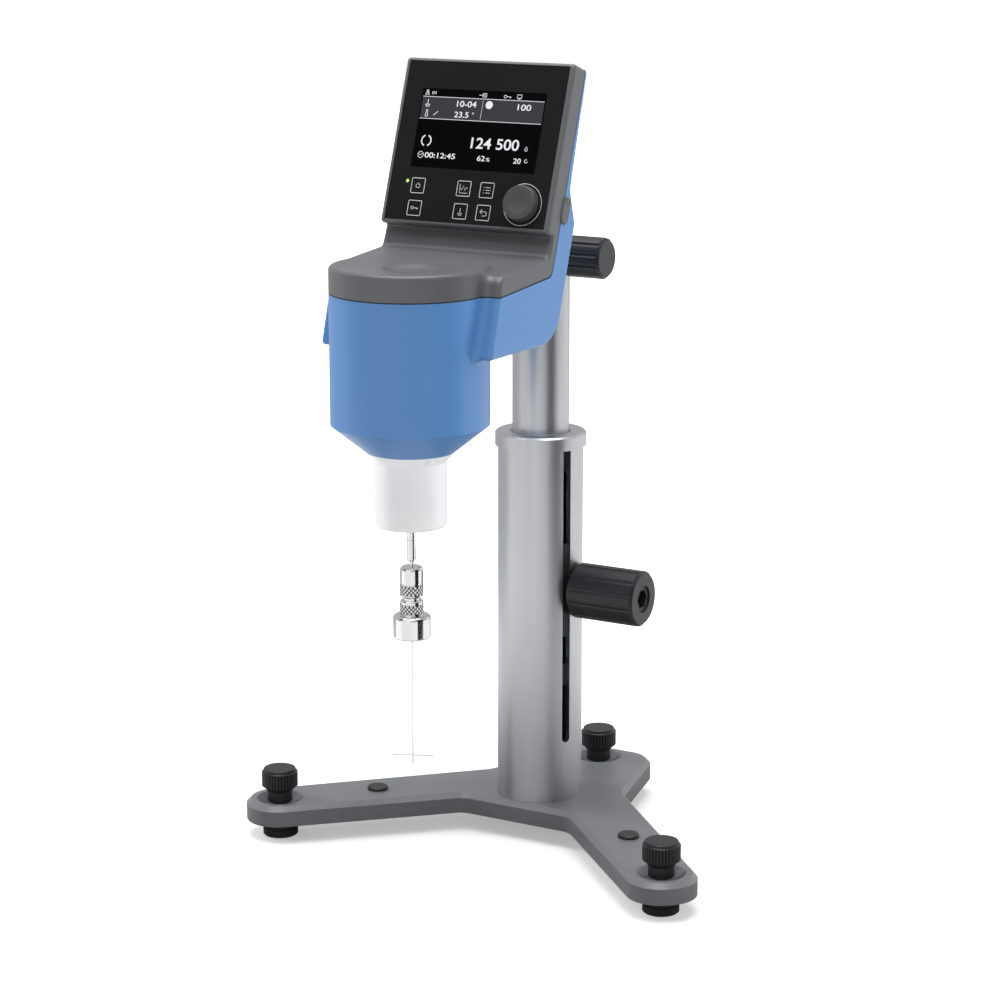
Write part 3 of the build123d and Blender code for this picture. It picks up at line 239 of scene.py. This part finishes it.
def nose_paint():
    paint = Finish("nose_silver", (0.915, 0.92, 0.935), 0.4, metallic=0.05)
    flake = paint.noise(0.0007, 2.0)
    paint.vary(0.03, 0.02)
    paint.set("Roughness", 0.32 + flake * 0.12)
    paint.bump(flake, 0.00002, 0.4)
    return paint.material


def rubber(name, color):
    soft = Finish(name, color, 0.72, Specular_IOR_Level=0.35)
    grain = soft.noise(0.0008, 3.0)
    soft.vary(0.1, 0.012)
    soft.set("Roughness", 0.64 + grain * 0.16)
    soft.bump(grain, 0.00005, 0.6)
    return soft.material


def gloss_panel():
    """The glass-like front: deep black, almost even, with a trace of wiping in its gloss."""
    glass = Finish("front_panel_black", (0.0145, 0.015, 0.0157), 0.14, Specular_IOR_Level=0.45)
    wipe = glass.noise(0.03, 4.0, stretch=(1.0, 0.35, 0.35), turn=(0.0, 0.6, 0.0))
    glass.set("Roughness", 0.12 + wipe * 0.08)
    glass.vary(0.15, 0.06)
    return glass.material


# %% Metals


def drawn_metal(name, color, roughness, along=(1.0, 1.0, 0.012), size=0.0005, relief=0.00003):
    """Metal with faint lines where the noise is stretched, as drawing or turning leaves them."""
    metal = Finish(name, color, roughness, metallic=1.0)
    lines = metal.noise(size, 3.0, stretch=along)
    cloud = metal.noise(0.05, 2.0)
    tint = tuple(c * 0.93 for c in color)
    metal.set("Base Color", metal.blend(lines * 0.6 + cloud * 0.4, tint, color))
    metal.set("Roughness", roughness - 0.05 + lines * 0.1)
    metal.bump(lines, relief, 0.35)
    return metal.material


def black_oxide():
    steel = Finish("screws_black", (0.03, 0.031, 0.033), 0.45, metallic=0.6)
    wear = steel.noise(0.0015, 3.0)
    steel.set("Roughness", 0.35 + wear * 0.2)
    steel.vary(0.2, 0.004)
    return steel.material


def circuit_green():
    board = Finish("board_mask", (0.02, 0.16, 0.08), 0.4, Coat_Weight=0.3)
    tracks = board.noise(0.002, 1.0, stretch=(1.0, 0.2, 0.2))
    board.set("Base Color", board.blend(tracks > 0.55, (0.015, 0.13, 0.065), (0.03, 0.23, 0.12)))
    board.set("Roughness", 0.3 + tracks * 0.2)
    return board.material


def lamp_green():
    lamp = Finish("status_lamp_green", (0.3, 0.5, 0.1), 0.3)
    glow = lamp.noise(0.001, 1.0)
    lamp.set("Emission Color", lamp.blend(glow, (0.42, 0.62, 0.14), (0.62, 0.82, 0.3)))
    lamp.set("Emission Strength", 0.9)
    return lamp.material


TURNED = (0.02, 0.02, 1.0)
finishes = {
    "plate_paint": powder_coat(),
    "black_plastic": moulded("knob_black", (0.0085, 0.0095, 0.0115), 0.42, shine=0.55),
    "satin_aluminium": drawn_metal("column_anodised", (0.59, 0.606, 0.632), 0.36),
    "white_plastic": moulded("bush_white", (0.82, 0.82, 0.8), 0.4),
    "steel": drawn_metal("steel_plain", (0.50, 0.50, 0.51), 0.32, TURNED),
    "black_steel": black_oxide(),
    "blue_housing": housing_paint(),
    "grey_cover": moulded("cover_grey", (0.093, 0.097, 0.104), 0.42, shine=0.65),
    "silver_nose": nose_paint(),
    "polished_steel": drawn_metal("spindle_polished", (0.80, 0.805, 0.815), 0.11, TURNED, 0.0004),
    "gloss_panel": gloss_panel(),
    "screen_module": moulded("screen_dark", (0.02, 0.02, 0.022), 0.3),
    "circuit_board": circuit_green(),
    "green_lamp": lamp_green(),
    "knob_grey": moulded("encoder_soft_black", (0.052, 0.053, 0.056), 0.5),
    "soft_rubber": rubber("port_rubber", (0.13, 0.13, 0.132)),
    "black_rubber": rubber("pad_rubber", (0.022, 0.022, 0.023)),
}

for part in frame["record"]["subparts"]:
    piece = nodes[part["node"]]
    piece.data.materials.clear()
    piece.data.materials.append(finishes[part["material_slot"]])
print("finishes", len(finishes))

# %% [markdown]
# ## Printed and lit marks
# The keys of this instrument are printed on the glass, and the display draws its numbers with light. Both are
# flat marks. A mark is easiest to draw as a line with a thickness, or as text, lying in the plane of the
# panel; it becomes a mesh, is pressed almost flat, and is then laid on the glass. The marks carry plain
# numbers and simple signs only.

# %% Helpers for flat marks
MARK_LIFT = 0.06


def alone(piece):
    """Selects this one object, so that the next operator acts on nothing else."""
    bpy.ops.object.select_all(action="DESELECT")
    piece.select_set(True)
    bpy.context.view_layer.objects.active = piece


def settle(piece, place=None):
    """Puts a piece where it belongs and writes that place into its mesh."""
    alone(piece)
    if place is not None:
        piece.matrix_world = place @ piece.matrix_world
    bpy.ops.object.transform_apply(location=True, rotation=True, scale=True)
    return piece


def as_mesh(piece):
    alone(piece)
    bpy.ops.object.convert(target="MESH")
    return bpy.context.object


def on_glass(u, v, lift=MARK_LIFT):
    """The placement of something drawn in the XY plane at a point of the panel."""
    return Matrix.Translation(on_panel(u, v, lift)) @ panel_turn


def arc(radius, first, last, steps=24, at=(0, 0)):
    """Points along a round line, in degrees from the right, anticlockwise."""
    angles = [radians(first + (last - first) * k / steps) for k in range(steps + 1)]
    return [(at[0] + radius * cos(a), at[1] + radius * sin(a)) for a in angles]


def drawn(name, strokes, width, u=0, v=0, lift=MARK_LIFT):
    """Lines of one width, each a list of points in millimetres, as one flat mesh at a point of the panel."""
    curve = bpy.data.curves.new(name, "CURVE")
    curve.dimensions = "3D"
    curve.bevel_depth = width / 2 * MM
    curve.bevel_resolution = 0
    curve.use_fill_caps = True
    for points in strokes:
        closed = points[0] == points[-1]
        corners = points[:-1] if closed else points
        line = curve.splines.new("POLY")
        line.points.add(len(corners) - 1)
        line.use_cyclic_u = closed
        for point, corner in zip(line.points, corners):
            point.co = (corner[0] * MM, corner[1] * MM, 0, 1)
    piece = bpy.data.objects.new(name, curve)
    scene.collection.objects.link(piece)
    piece = as_mesh(piece)
    piece.scale.z = 0.08
    return settle(piece, on_glass(u, v, lift))


def written(name, words, left, right, low, high, lift=MARK_LIFT):
    """Text that fills a box of the panel."""
    bpy.ops.object.text_add()
    piece = bpy.context.object
    piece.name = name
    piece.data.body = words
    piece.data.offset = 0.012
    piece.data.extrude = 0.001
    piece = as_mesh(piece)
    corners = [vertex.co for vertex in piece.data.vertices]
    min_x, max_x = min(c.x for c in corners), max(c.x for c in corners)
    min_y, max_y = min(c.y for c in corners), max(c.y for c in corners)
    across = (right - left) * MM / (max_x - min_x)
    upward = (high - low) * MM / (max_y - min_y)
    settle(piece, Matrix.Translation((-min_x, -min_y, 0)))
    piece.scale = (across, upward, 0.02)
    return settle(piece, on_glass(left, low, lift))


def filled(name, outline, u=0, v=0, lift=MARK_LIFT):
    """A flat patch with this outline, in millimetres."""
    bpy.ops.mesh.primitive_circle_add(vertices=len(outline), fill_type="NGON")
    piece = bpy.context.object
    piece.name = name
    for vertex, corner in zip(piece.data.vertices, outline):
        vertex.co = (corner[0] * MM, corner[1] * MM, 0)
    bpy.ops.object.mode_set(mode="EDIT")
    bpy.ops.mesh.select_all(action="SELECT")
    bpy.ops.mesh.normals_make_consistent(inside=False)
    bpy.ops.mesh.extrude_region_move(TRANSFORM_OT_translate={"value": (0, 0, -0.03 * MM)})
    bpy.ops.mesh.select_all(action="SELECT")
    bpy.ops.mesh.normals_make_consistent(inside=False)
    bpy.ops.object.mode_set(mode="OBJECT")
    return settle(piece, on_glass(u, v, lift))


def joined(name, marks, finish, body="head"):
    """Several marks as one piece that rides on a body."""
    alone(marks[0])
    for mark in marks[1:]:
        mark.select_set(True)
    if len(marks) > 1:
        bpy.ops.object.join()
    piece = bpy.context.object
    piece.name = name
    piece.data.name = name
    piece.data.materials.clear()
    piece.data.materials.append(finish)
    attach(piece, body)
    print(name, len(piece.data.polygons), "faces")
    return piece


def frame_line(half_width, half_height, corner):
    """A rectangle with rounded corners, closed."""
    x, y = half_width - corner, half_height - corner
    turns = [((x, y), 0), ((-x, y), 90), ((-x, -y), 180), ((x, -y), 270)]
    outline = [point for at, first in turns for point in arc(corner, first, first + 90, 4, at)]
    return outline + outline[:1]


# %% [markdown]
# ### Finishes of the marks
# Ink is a matt light grey with tiny gaps where the screen of the printer left them. The display is made of
# square dots: a grid on the panel's own directions darkens the lines between them, so that a close look
# shows dots and a distant look shows an even light.

# %% Ink and light
DOT_PITCH = 0.35 * MM
DOT_GAP = 0.06 * MM


def ink():
    print_white = Finish("key_ink", (0.62, 0.63, 0.64), 0.6, Specular_IOR_Level=0.2)
    print_white.vary(0.06, 0.0008)
    print_white.set("Roughness", 0.5 + print_white.noise(0.0006) * 0.2)
    return print_white.material


def dots(name, color, light):
    """A lit surface made of square dots, dimmer along the lines between them."""
    lit = Finish(name, (0.001, 0.001, 0.001), 0.22, Specular_IOR_Level=0.08)
    leaning = lit.place(turn=(-tilt, 0.0, 0.0))
    parts = lit.node("SeparateXYZ", values={"Vector": leaning})
    across = Value(lit.tree, parts.socket.node.outputs[0])
    upward = Value(lit.tree, parts.socket.node.outputs[2])
    in_column = across.math("PINGPONG", across, DOT_PITCH / 2) > DOT_GAP / 2
    in_row = upward.math("PINGPONG", upward, DOT_PITCH / 2) > DOT_GAP / 2
    inside = in_column * in_row
    dim = tuple(c * 0.72 for c in color)
    lit.set("Emission Color", lit.blend(inside, dim, color))
    lit.set("Emission Strength", light)
    return lit.material


screen_finishes = {
    "dark": dots("screen_black", (0.006, 0.006, 0.008), 0.3),
    "band": dots("screen_band", (0.052, 0.054, 0.063), 1.0),
    "white": dots("screen_white", (0.93, 0.95, 0.98), 1.0),
}
key_ink = ink()

# %% [markdown]
# ### The display
# The lit area is a dark rectangle. A grey band across its upper part holds the set values, with a light line
# above and below it. Under it stands the measured value in large figures, and below that the time, the load
# and the speed.

# %% Display
SCREEN = (-47.5, 47.5, 36.3, 90.2)
BAND = (-46.5, 46.5, 69.5, 84.5)
SCREEN_LIFT = 0.05
BAND_LIFT = 0.09
DISPLAY_LIFT = 0.15
RULE_HALF = 0.18


def patch(name, left, right, low, high, lift=MARK_LIFT):
    return filled(name, [(right, high), (left, high), (left, low), (right, low)], lift=lift)


picture = patch("screen", *SCREEN, lift=SCREEN_LIFT)
joined("screen_picture", [picture], screen_finishes["dark"])
band = patch("band", *BAND, lift=BAND_LIFT)
joined("screen_band", [band], screen_finishes["band"])

spindle_sign = [[(0, -1.2), (0, 2.4)], arc(1.5, 180, 360, 12, (0, -1.2)) + [(-1.5, -1.2)]]
turn_sign = [arc(3.6, 110, 250, 16), arc(3.6, -70, 70, 16)]
clock_sign = [arc(2.1, 0, 360, 24), [(-1.2, 0), (0, 0), (1.2, 0.4)]]
key_bits = [[(1.7, 0), (1.7, -0.8)], [(2.5, 0), (2.5, -0.8)]]
key_sign = [arc(0.95, 0, 360, 16, (-1.7, 0)), [(-0.75, 0), (2.6, 0)]] + key_bits
user_sign = [arc(0.8, 0, 360, 12, (0, 1.0)), arc(1.4, 0, 180, 12, (0, -1.4)) + [(1.4, -1.4)]]
monitor_sign = [frame_line(1.7, 1.1, 0.2), [(0, -1.1), (0, -1.8)], [(-1.0, -1.8), (1.0, -1.8)]]
thermometer_sign = [arc(1.0, 120, 420, 16, (0, -1.4)) + arc(0.5, 0, 180, 8, (0, 1.8)) + [(-0.5, -0.53)]]
drop_sign = [[(0, 1.5)] + arc(0.95, 30, -210, 14, (0, -0.5)) + [(0, 1.5)]]
plug_pins = [[(-0.7, 0.3), (0.7, 0.3)], [(-0.7, -0.4), (0.7, -0.4)]]
plug_sign = [frame_line(1.4, 1.2, 0.2), [(-4.2, 0), (-1.4, 0)]] + plug_pins
probe_sign = [[(-1.6, -1.4), (1.6, 1.4)]]
speed_sign = [arc(1.1, 60, 360, 14)]
degree_sign = [arc(0.55, 0, 360, 12)]
divider = [[(0, 70.6), (0, 83.4)]]

# Each sign with the width of its lines and its place on the panel.
display_signs = [
    (spindle_sign, 0.5, -42.0, 80.4), (thermometer_sign, 0.45, -41.7, 73.3), (probe_sign, 0.5, -34.7, 73.3),
    (turn_sign, 0.9, -38.4, 54.5), (clock_sign, 0.4, -41.0, 44.8), (key_sign, 0.35, 18.2, 86.8),
    (user_sign, 0.45, -43.5, 87.1), (monitor_sign, 0.35, 27.2, 87.3), (plug_sign, 0.35, 0.8, 87.0),
    (drop_sign, 0.4, 38.5, 52.6), (speed_sign, 0.4, 39.8, 44.4), (degree_sign, 0.3, -6.0, 74.4),
    (divider, 0.22, 0.2, 0.0),
]
# Each figure with the left, right, lower and upper edge of the box that it fills.
display_text = [
    ("124 500", -3.7, 32.8, 50.9, 58.3), ("00:12:45", -37.8, -14.2, 42.9, 46.6), ("62", 2.8, 8.7, 42.7, 46.3),
    ("%", 9.6, 12.4, 42.7, 45.2), ("20", 30.4, 36.0, 42.4, 46.0), ("10-04", -19.4, -4.4, 78.4, 82.5),
    ("23.5", -20.2, -9.2, 71.1, 75.1), ("01", -40.0, -36.8, 86.2, 88.2), ("100", 27.0, 37.2, 78.0, 82.1),
]
marks = [drawn("sign", strokes, width, u, v, DISPLAY_LIFT) for strokes, width, u, v in display_signs]
marks += [written("figures", words, *box, DISPLAY_LIFT) for words, *box in display_text]
marks += [filled("badge", arc(2.7, 0, 360, 24)[:-1], 5.3, 80.6, DISPLAY_LIFT)]
for level in BAND[2:]:
    marks += [patch("line", BAND[0], BAND[1], level - RULE_HALF, level + RULE_HALF, DISPLAY_LIFT)]
joined("screen_figures", marks, screen_finishes["white"])

# %% [markdown]
# ### The keys and the ring
# Six square keys are drawn as outlines with a sign in each: on and off, lock, chart, list, spindle and back.
# A thin ring marks the place of the control knob.

# %% Keys
KEY_HALF = 5.05
KEY_CORNER = 0.7
KEY_LINE = 0.5
KEY_SIGN_LINE = 0.42
RING_RADIUS = 13.9
power_sign = [arc(1.5, 125, 415, 20), [(0, 0.5), (0, 2.1)]]
chart_axes = [(-3, 3), (-3, -3), (3, -3)]
chart_line = [(-3, -0.6), (-1.4, -0.6), (-0.4, 2.0), (1.0, -1.4), (1.9, 0.6), (3, 0.6)]
chart_sign = [chart_axes, chart_line]
list_levels = (-1.8, 0, 1.8)
list_sign = [[(-2.6, y), (-1.9, y)] for y in list_levels] + [[(-1.0, y), (2.7, y)] for y in list_levels]
arrow_head = [(-0.9, 2.3), (-2.6, 0.8), (-0.9, -0.7)]
arrow_tail = [(-2.6, 0.8), (1.2, 0.8)] + arc(1.45, 90, -90, 10, (1.2, -0.65)) + [(-0.6, -2.1)]
back_sign = [arrow_head, arrow_tail]
keys = [
    (power_sign, -39.0, 23.7), (key_sign, -39.0, 8.4), (chart_sign, -3.5, 23.6),
    (list_sign, 14.1, 23.5), (spindle_sign, -3.5, 8.2), (back_sign, 14.1, 8.3),
]
marks = [drawn("key", [frame_line(KEY_HALF, KEY_HALF, KEY_CORNER)], KEY_LINE, u, v) for sign, u, v in keys]
marks += [drawn("key_sign", sign, KEY_SIGN_LINE, u, v) for sign, u, v in keys]
encoder = middle("encoder_knob") - on_panel(0, 0)
encoder_u, encoder_v = encoder.dot(panel_right) / MM, encoder.dot(panel_up) / MM
marks += [drawn("ring", [arc(RING_RADIUS, 0, 360, 72)], KEY_LINE, encoder_u, encoder_v)]
joined("panel_print", marks, key_ink)

# %% [markdown]
# ## Knurled grips
# The chuck of the spindle and the ring that locks it are gripped by two fingers, so each has a knurled band.
# A knurling wheel presses a diamond pattern into the turned surface. Here a thin sleeve of four-sided faces
# lies on the band, and every second corner of it is pushed outwards. Each face is then folded along its
# shorter diagonal, which joins two low corners, so that every high corner becomes the tip of a small pyramid.
# The diamonds are a little coarser than a fine knurl, so that they still show from a distance. Their valleys
# carry painted shade, near black against the bright steel of the crests.

# %% Knurled sleeves
SLEEVE_SIDES = 36
SLEEVE_ROWS = 5
KNURL_CREST = 0.42 * MM
VALLEY_END = 0.18
CREST_START = 0.34


def knurled_steel_painted_shade(axis_x, axis_y, seat, crest):
    """Bright steel with painted shade in its valleys, darker by the distance from the turning axis."""
    steel = Finish("steel_knurled_painted_shade", (0.62, 0.625, 0.635), 0.2, metallic=0.25)
    parts = steel.node("SeparateXYZ", values={"Vector": steel.place()})
    sideways = Value(steel.tree, parts.socket.node.outputs[0]) - axis_x
    forwards = Value(steel.tree, parts.socket.node.outputs[1]) - axis_y
    reach = steel.node("Math", {"operation": "SQRT"}, {0: sideways * sideways + forwards * forwards})
    valley, top = seat + VALLEY_END * crest, seat + CREST_START * crest
    height = steel.node("MapRange", values={"Value": reach, "From Min": valley, "From Max": top})
    # Painted shade: the colour is near black down in the valleys and bright steel on the crests.
    steel.set("Base Color", steel.blend(height, (0.012, 0.012, 0.013), (0.93, 0.935, 0.945)))
    steel.set("Roughness", 0.34 - height * 0.2)
    return steel.material


def knurled_sleeve(name, body, low, high):
    """A sleeve round the spindle's axis between two levels, with rows of small pyramids on its outside."""
    axis_x, axis_y = spindle.x, spindle.y
    bpy.ops.object.select_all(action="DESELECT")
    bpy.ops.mesh.primitive_cylinder_add(
        vertices=SLEEVE_SIDES,
        radius=knurl_seat,
        depth=high - low,
        location=(axis_x, axis_y, (low + high) / 2),
    )
    sleeve = settle(bpy.context.object)
    sleeve.name = name
    sleeve.data.name = name
    bpy.ops.object.mode_set(mode="EDIT")
    for row in range(1, SLEEVE_ROWS):
        level = low + (high - low) * row / SLEEVE_ROWS
        bpy.ops.mesh.select_all(action="SELECT")
        bpy.ops.mesh.bisect(plane_co=(axis_x, axis_y, level), plane_no=(0, 0, 1))
    bpy.ops.mesh.select_mode(type="VERT")
    bpy.ops.mesh.select_all(action="DESELECT")
    bpy.ops.object.mode_set(mode="OBJECT")
    for vertex in sleeve.data.vertices:
        turn = atan2(vertex.co.y - axis_y, vertex.co.x - axis_x)
        column_number = round(turn / (2 * pi) * SLEEVE_SIDES)
        row = round((vertex.co.z - low) / (high - low) * SLEEVE_ROWS)
        inner = 0 < row < SLEEVE_ROWS
        vertex.select = inner and (column_number + row) % 2 == 0
    bpy.ops.object.mode_set(mode="EDIT")
    ratio = (knurl_seat + KNURL_CREST) / knurl_seat
    bpy.ops.transform.resize(value=(ratio, ratio, 1.0), center_override=(axis_x, axis_y, 0.0))
    bpy.ops.mesh.select_all(action="SELECT")
    bpy.ops.mesh.quads_convert_to_tris(quad_method="SHORTEST_DIAGONAL")
    bpy.ops.object.mode_set(mode="OBJECT")
    sleeve.data.materials.append(knurl_finish_painted_shade)
    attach(sleeve, body)
    print(name, len(sleeve.data.polygons), "faces")


chuck_low, chuck_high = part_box("chuck")
closer_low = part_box("closer")[0]
knurl_seat = (chuck_high.x - chuck_low.x) / 2 + 0.02 * MM
knurl_finish_painted_shade = knurled_steel_painted_shade(spindle.x, spindle.y, knurl_seat, KNURL_CREST)
knurled_sleeve("chuck_knurl", "spindle", chuck_low.z + 2.0 * MM, chuck_high.z - 12.3 * MM)
knurled_sleeve("closer_knurl", "closer", closer_low.z + 0.8 * MM, closer_low.z + 7.6 * MM)

# %% [markdown]
# ## The tab of the port cover
# The rubber cover of the side port is pulled out with a fingernail under a small tab. The tab is a block at
# the cover's upper end, drawn in towards its tip and rounded, in one piece with the rubber.

# %% Pull tab
TAB_SIZE = (1.6 * MM, 6.4 * MM, 4.6 * MM)
TAB_UP = 6.2 * MM
TAB_ROUND = 0.55 * MM
tab_low, tab_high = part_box("port_cover")
tab_end = Vector((tab_high.x, 0, 0)) + Vector((0, (tab_low.y + tab_high.y) / 2, (tab_low.z + tab_high.z) / 2))
tab_end += panel_up * TAB_UP
bpy.ops.object.select_all(action="DESELECT")
bpy.ops.mesh.primitive_cube_add(size=1.0)
tab = bpy.context.object
tab.name = "port_cover_tab"
tab.data.name = "port_cover_tab"
tab.scale = TAB_SIZE
bpy.ops.object.transform_apply(location=False, rotation=False, scale=True)
bpy.ops.object.mode_set(mode="EDIT")
bpy.ops.mesh.select_mode(type="FACE")
bpy.ops.mesh.select_all(action="DESELECT")
bpy.ops.object.mode_set(mode="OBJECT")
for face in tab.data.polygons:
    face.select = face.normal.x > 0.9
bpy.ops.object.mode_set(mode="EDIT")
bpy.ops.transform.resize(value=(1.0, 0.82, 0.7), center_override=(0.0, 0.0, TAB_SIZE[2] / 2))
bpy.ops.mesh.select_all(action="SELECT")
bpy.ops.mesh.bevel(offset=TAB_ROUND, segments=3, affect="EDGES")
bpy.ops.object.mode_set(mode="OBJECT")
bpy.ops.object.shade_smooth_by_angle(angle=radians(40))
settle(tab, Matrix.Translation(tab_end) @ Matrix.Rotation(-tilt, 4, "X"))
tab.data.materials.append(finishes["soft_rubber"])
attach(tab, "port_cover")
print("tab at", tab_end)

# %% [markdown]
# ## Floor, light and camera
# The instrument stands on a pale floor in soft, even light. To the camera the floor takes the contact shadow
# near the stand and turns into plain white further out. To bounced light it is darker near the stand and
# paler further out, so that the sides of the base stay dark while the head is lit from below.

# %% Floor
FLOOR_RADIUS = 6.0
FLOOR_DROP = 0.2 * MM
NEAR = 0.2
GLOW_FULL = 0.7
BOUNCE_FULL = 0.5
bpy.ops.object.select_all(action="DESELECT")
bpy.ops.mesh.primitive_circle_add(
    vertices=64, radius=FLOOR_RADIUS, fill_type="NGON", location=(0, 0, -FLOOR_DROP)
)
floor = bpy.context.object
floor.name = "floor"
floor_paint = Finish("floor_white", (0.72, 0.72, 0.72), 0.9, Specular_IOR_Level=0.0)
spread = floor_paint.node("VectorMath", {"operation": "LENGTH"}, {0: floor_paint.place()}, "Value")
soft = {"interpolation_type": "SMOOTHSTEP"}
edge = floor_paint.node(
    "MapRange", soft, {"Value": spread, "From Min": NEAR, "From Max": GLOW_FULL, "To Min": 0.2, "To Max": 1.0}
)
glow = floor_paint.node("Emission", values={"Color": (1.0, 1.0, 1.0), "Strength": 1.8})
in_camera = floor_paint.node("LightPath", output="Is Camera Ray")
far = floor_paint.node("MapRange", soft, {"Value": spread, "From Min": NEAR, "From Max": BOUNCE_FULL})
bounce = floor_paint.blend(far, (0.26, 0.26, 0.26), (0.82, 0.82, 0.82))
floor_paint.set("Base Color", floor_paint.blend(in_camera, bounce, (0.95, 0.95, 0.95)))
painted = Value(floor_paint.tree, floor_paint.shader.outputs[0])
mixed = floor_paint.node("MixShader", values={0: edge * in_camera, 1: painted, 2: glow})
floor_paint.tree.links.new(mixed.socket, floor_paint.tree.nodes["Material Output"].inputs["Surface"])
floor.data.materials.append(floor_paint.material)

# %% Lights
scene.view_settings.view_transform = "Standard"
CAMERA_RIGHT, CAMERA_BACK, CAMERA_UP = 0.94367, 1.69309, 0.68795
CAMERA_DOWN = radians(12.94)
CAMERA_TURN = radians(29.98)
CAMERA_LENS = 101.02
camera_place = Vector((CAMERA_RIGHT, column.y - CAMERA_BACK, CAMERA_UP))


def softbox(name, place, target, width, height, power, in_metal=False):
    """A rectangular lamp that faces a point, seen in reflections only where metal needs it."""
    lamp = bpy.data.lights.new(name, "AREA")
    lamp.shape = "RECTANGLE"
    lamp.size = width
    lamp.size_y = height
    lamp.energy = power
    holder = bpy.data.objects.new(name, lamp)
    holder.location = place
    holder.rotation_euler = (Vector(target) - Vector(place)).to_track_quat("-Z", "Y").to_euler()
    holder.visible_glossy = in_metal
    scene.collection.objects.link(holder)


def flag(name, place, target, width, height, paint):
    """A card that only reflections see: it keeps a glossy face black and gives metal its darker bands."""
    bpy.ops.mesh.primitive_plane_add(size=1.0)
    card = bpy.context.object
    card.name = name
    card.scale = (width, height, 1.0)
    card.location = place
    card.rotation_euler = (Vector(target) - Vector(place)).to_track_quat("Z", "Y").to_euler()
    card.visible_camera = False
    card.visible_diffuse = False
    card.visible_shadow = False
    card.visible_transmission = False
    card.data.materials.append(paint.material)


def glowing_card(name, strength):
    paint = Finish(name, (0.0, 0.0, 0.0), 0.9, Specular_IOR_Level=0.0)
    paint.set("Emission Color", (1.0, 1.0, 1.0))
    paint.set("Emission Strength", strength)
    return paint


def round_the_column(angle, distance, level):
    """A place round the column, by its angle in degrees from the right."""
    turn = radians(angle)
    return column + Vector((distance * cos(turn), distance * sin(turn), level - column.z))


heart = (0.0, 0.0, 0.3)
softbox("side_left", (-2.0, -0.2, 0.9), heart, 0.9, 1.8, 38.0)
softbox("side_right", (1.6, 1.0, 0.8), heart, 0.9, 1.8, 18.0)
softbox("front_right", (2.2, -0.9, 0.7), heart, 0.5, 1.6, 8.0)
softbox("front_fill", (0.4, -2.4, 1.2), heart, 1.2, 1.2, 5.0)
softbox("top_wide", (0.0, -0.15, 2.2), heart, 1.8, 1.8, 47.0, in_metal=True)

black_card = Finish("flag_black", (0.01, 0.01, 0.01), 0.9, Specular_IOR_Level=0.0)
grey_card = glowing_card("card_grey", 0.56)
white_card = glowing_card("card_white", 1.0)
glass_middle = on_panel(0, 54)
sight = (glass_middle - camera_place).normalized()
mirrored = sight - 2 * sight.dot(panel_out) * panel_out
flag("flag_glass", glass_middle + mirrored * 2.4, glass_middle, 1.5, 1.3, black_card)
CARD_DISTANCE = 0.62
CARD_LEVEL = 0.35
CARD_HEIGHT = 0.7
cards = ((-19, 0.42, black_card), (-90, 0.5, white_card), (174, 0.8, grey_card), (62, 0.5, white_card))
for angle, width, paint in cards:
    place, target = round_the_column(angle, CARD_DISTANCE, CARD_LEVEL), round_the_column(angle, 0, CARD_LEVEL)
    flag("card", place, target, width, CARD_HEIGHT, paint)

world = bpy.data.worlds.new("studio")
scene.world = world
world.use_nodes = True
sky = world.node_tree
background = sky.nodes["Background"]
path = sky.nodes.new("ShaderNodeLightPath")
seen = Value(sky, path.outputs["Is Camera Ray"]).math(
    "MAXIMUM", Value(sky, path.outputs["Is Camera Ray"]), Value(sky, path.outputs["Is Transmission Ray"])
)
glossy = Value(sky, path.outputs["Is Glossy Ray"])
AMBIENT = 0.22
feed(sky, background.inputs["Strength"], AMBIENT + seen * (1.0 - AMBIENT) + glossy * 0.3)
background.inputs["Color"].default_value = (1.0, 1.0, 1.0, 1.0)

# %% Camera
camera_data = bpy.data.cameras.new("camera")
camera_data.sensor_width = 36.0
camera_data.lens = CAMERA_LENS
camera = bpy.data.objects.new("camera", camera_data)
camera.location = camera_place
camera.rotation_euler = (radians(90.0) - CAMERA_DOWN, 0.0, CAMERA_TURN)
scene.collection.objects.link(camera)
scene.camera = camera
print("camera", camera.location)
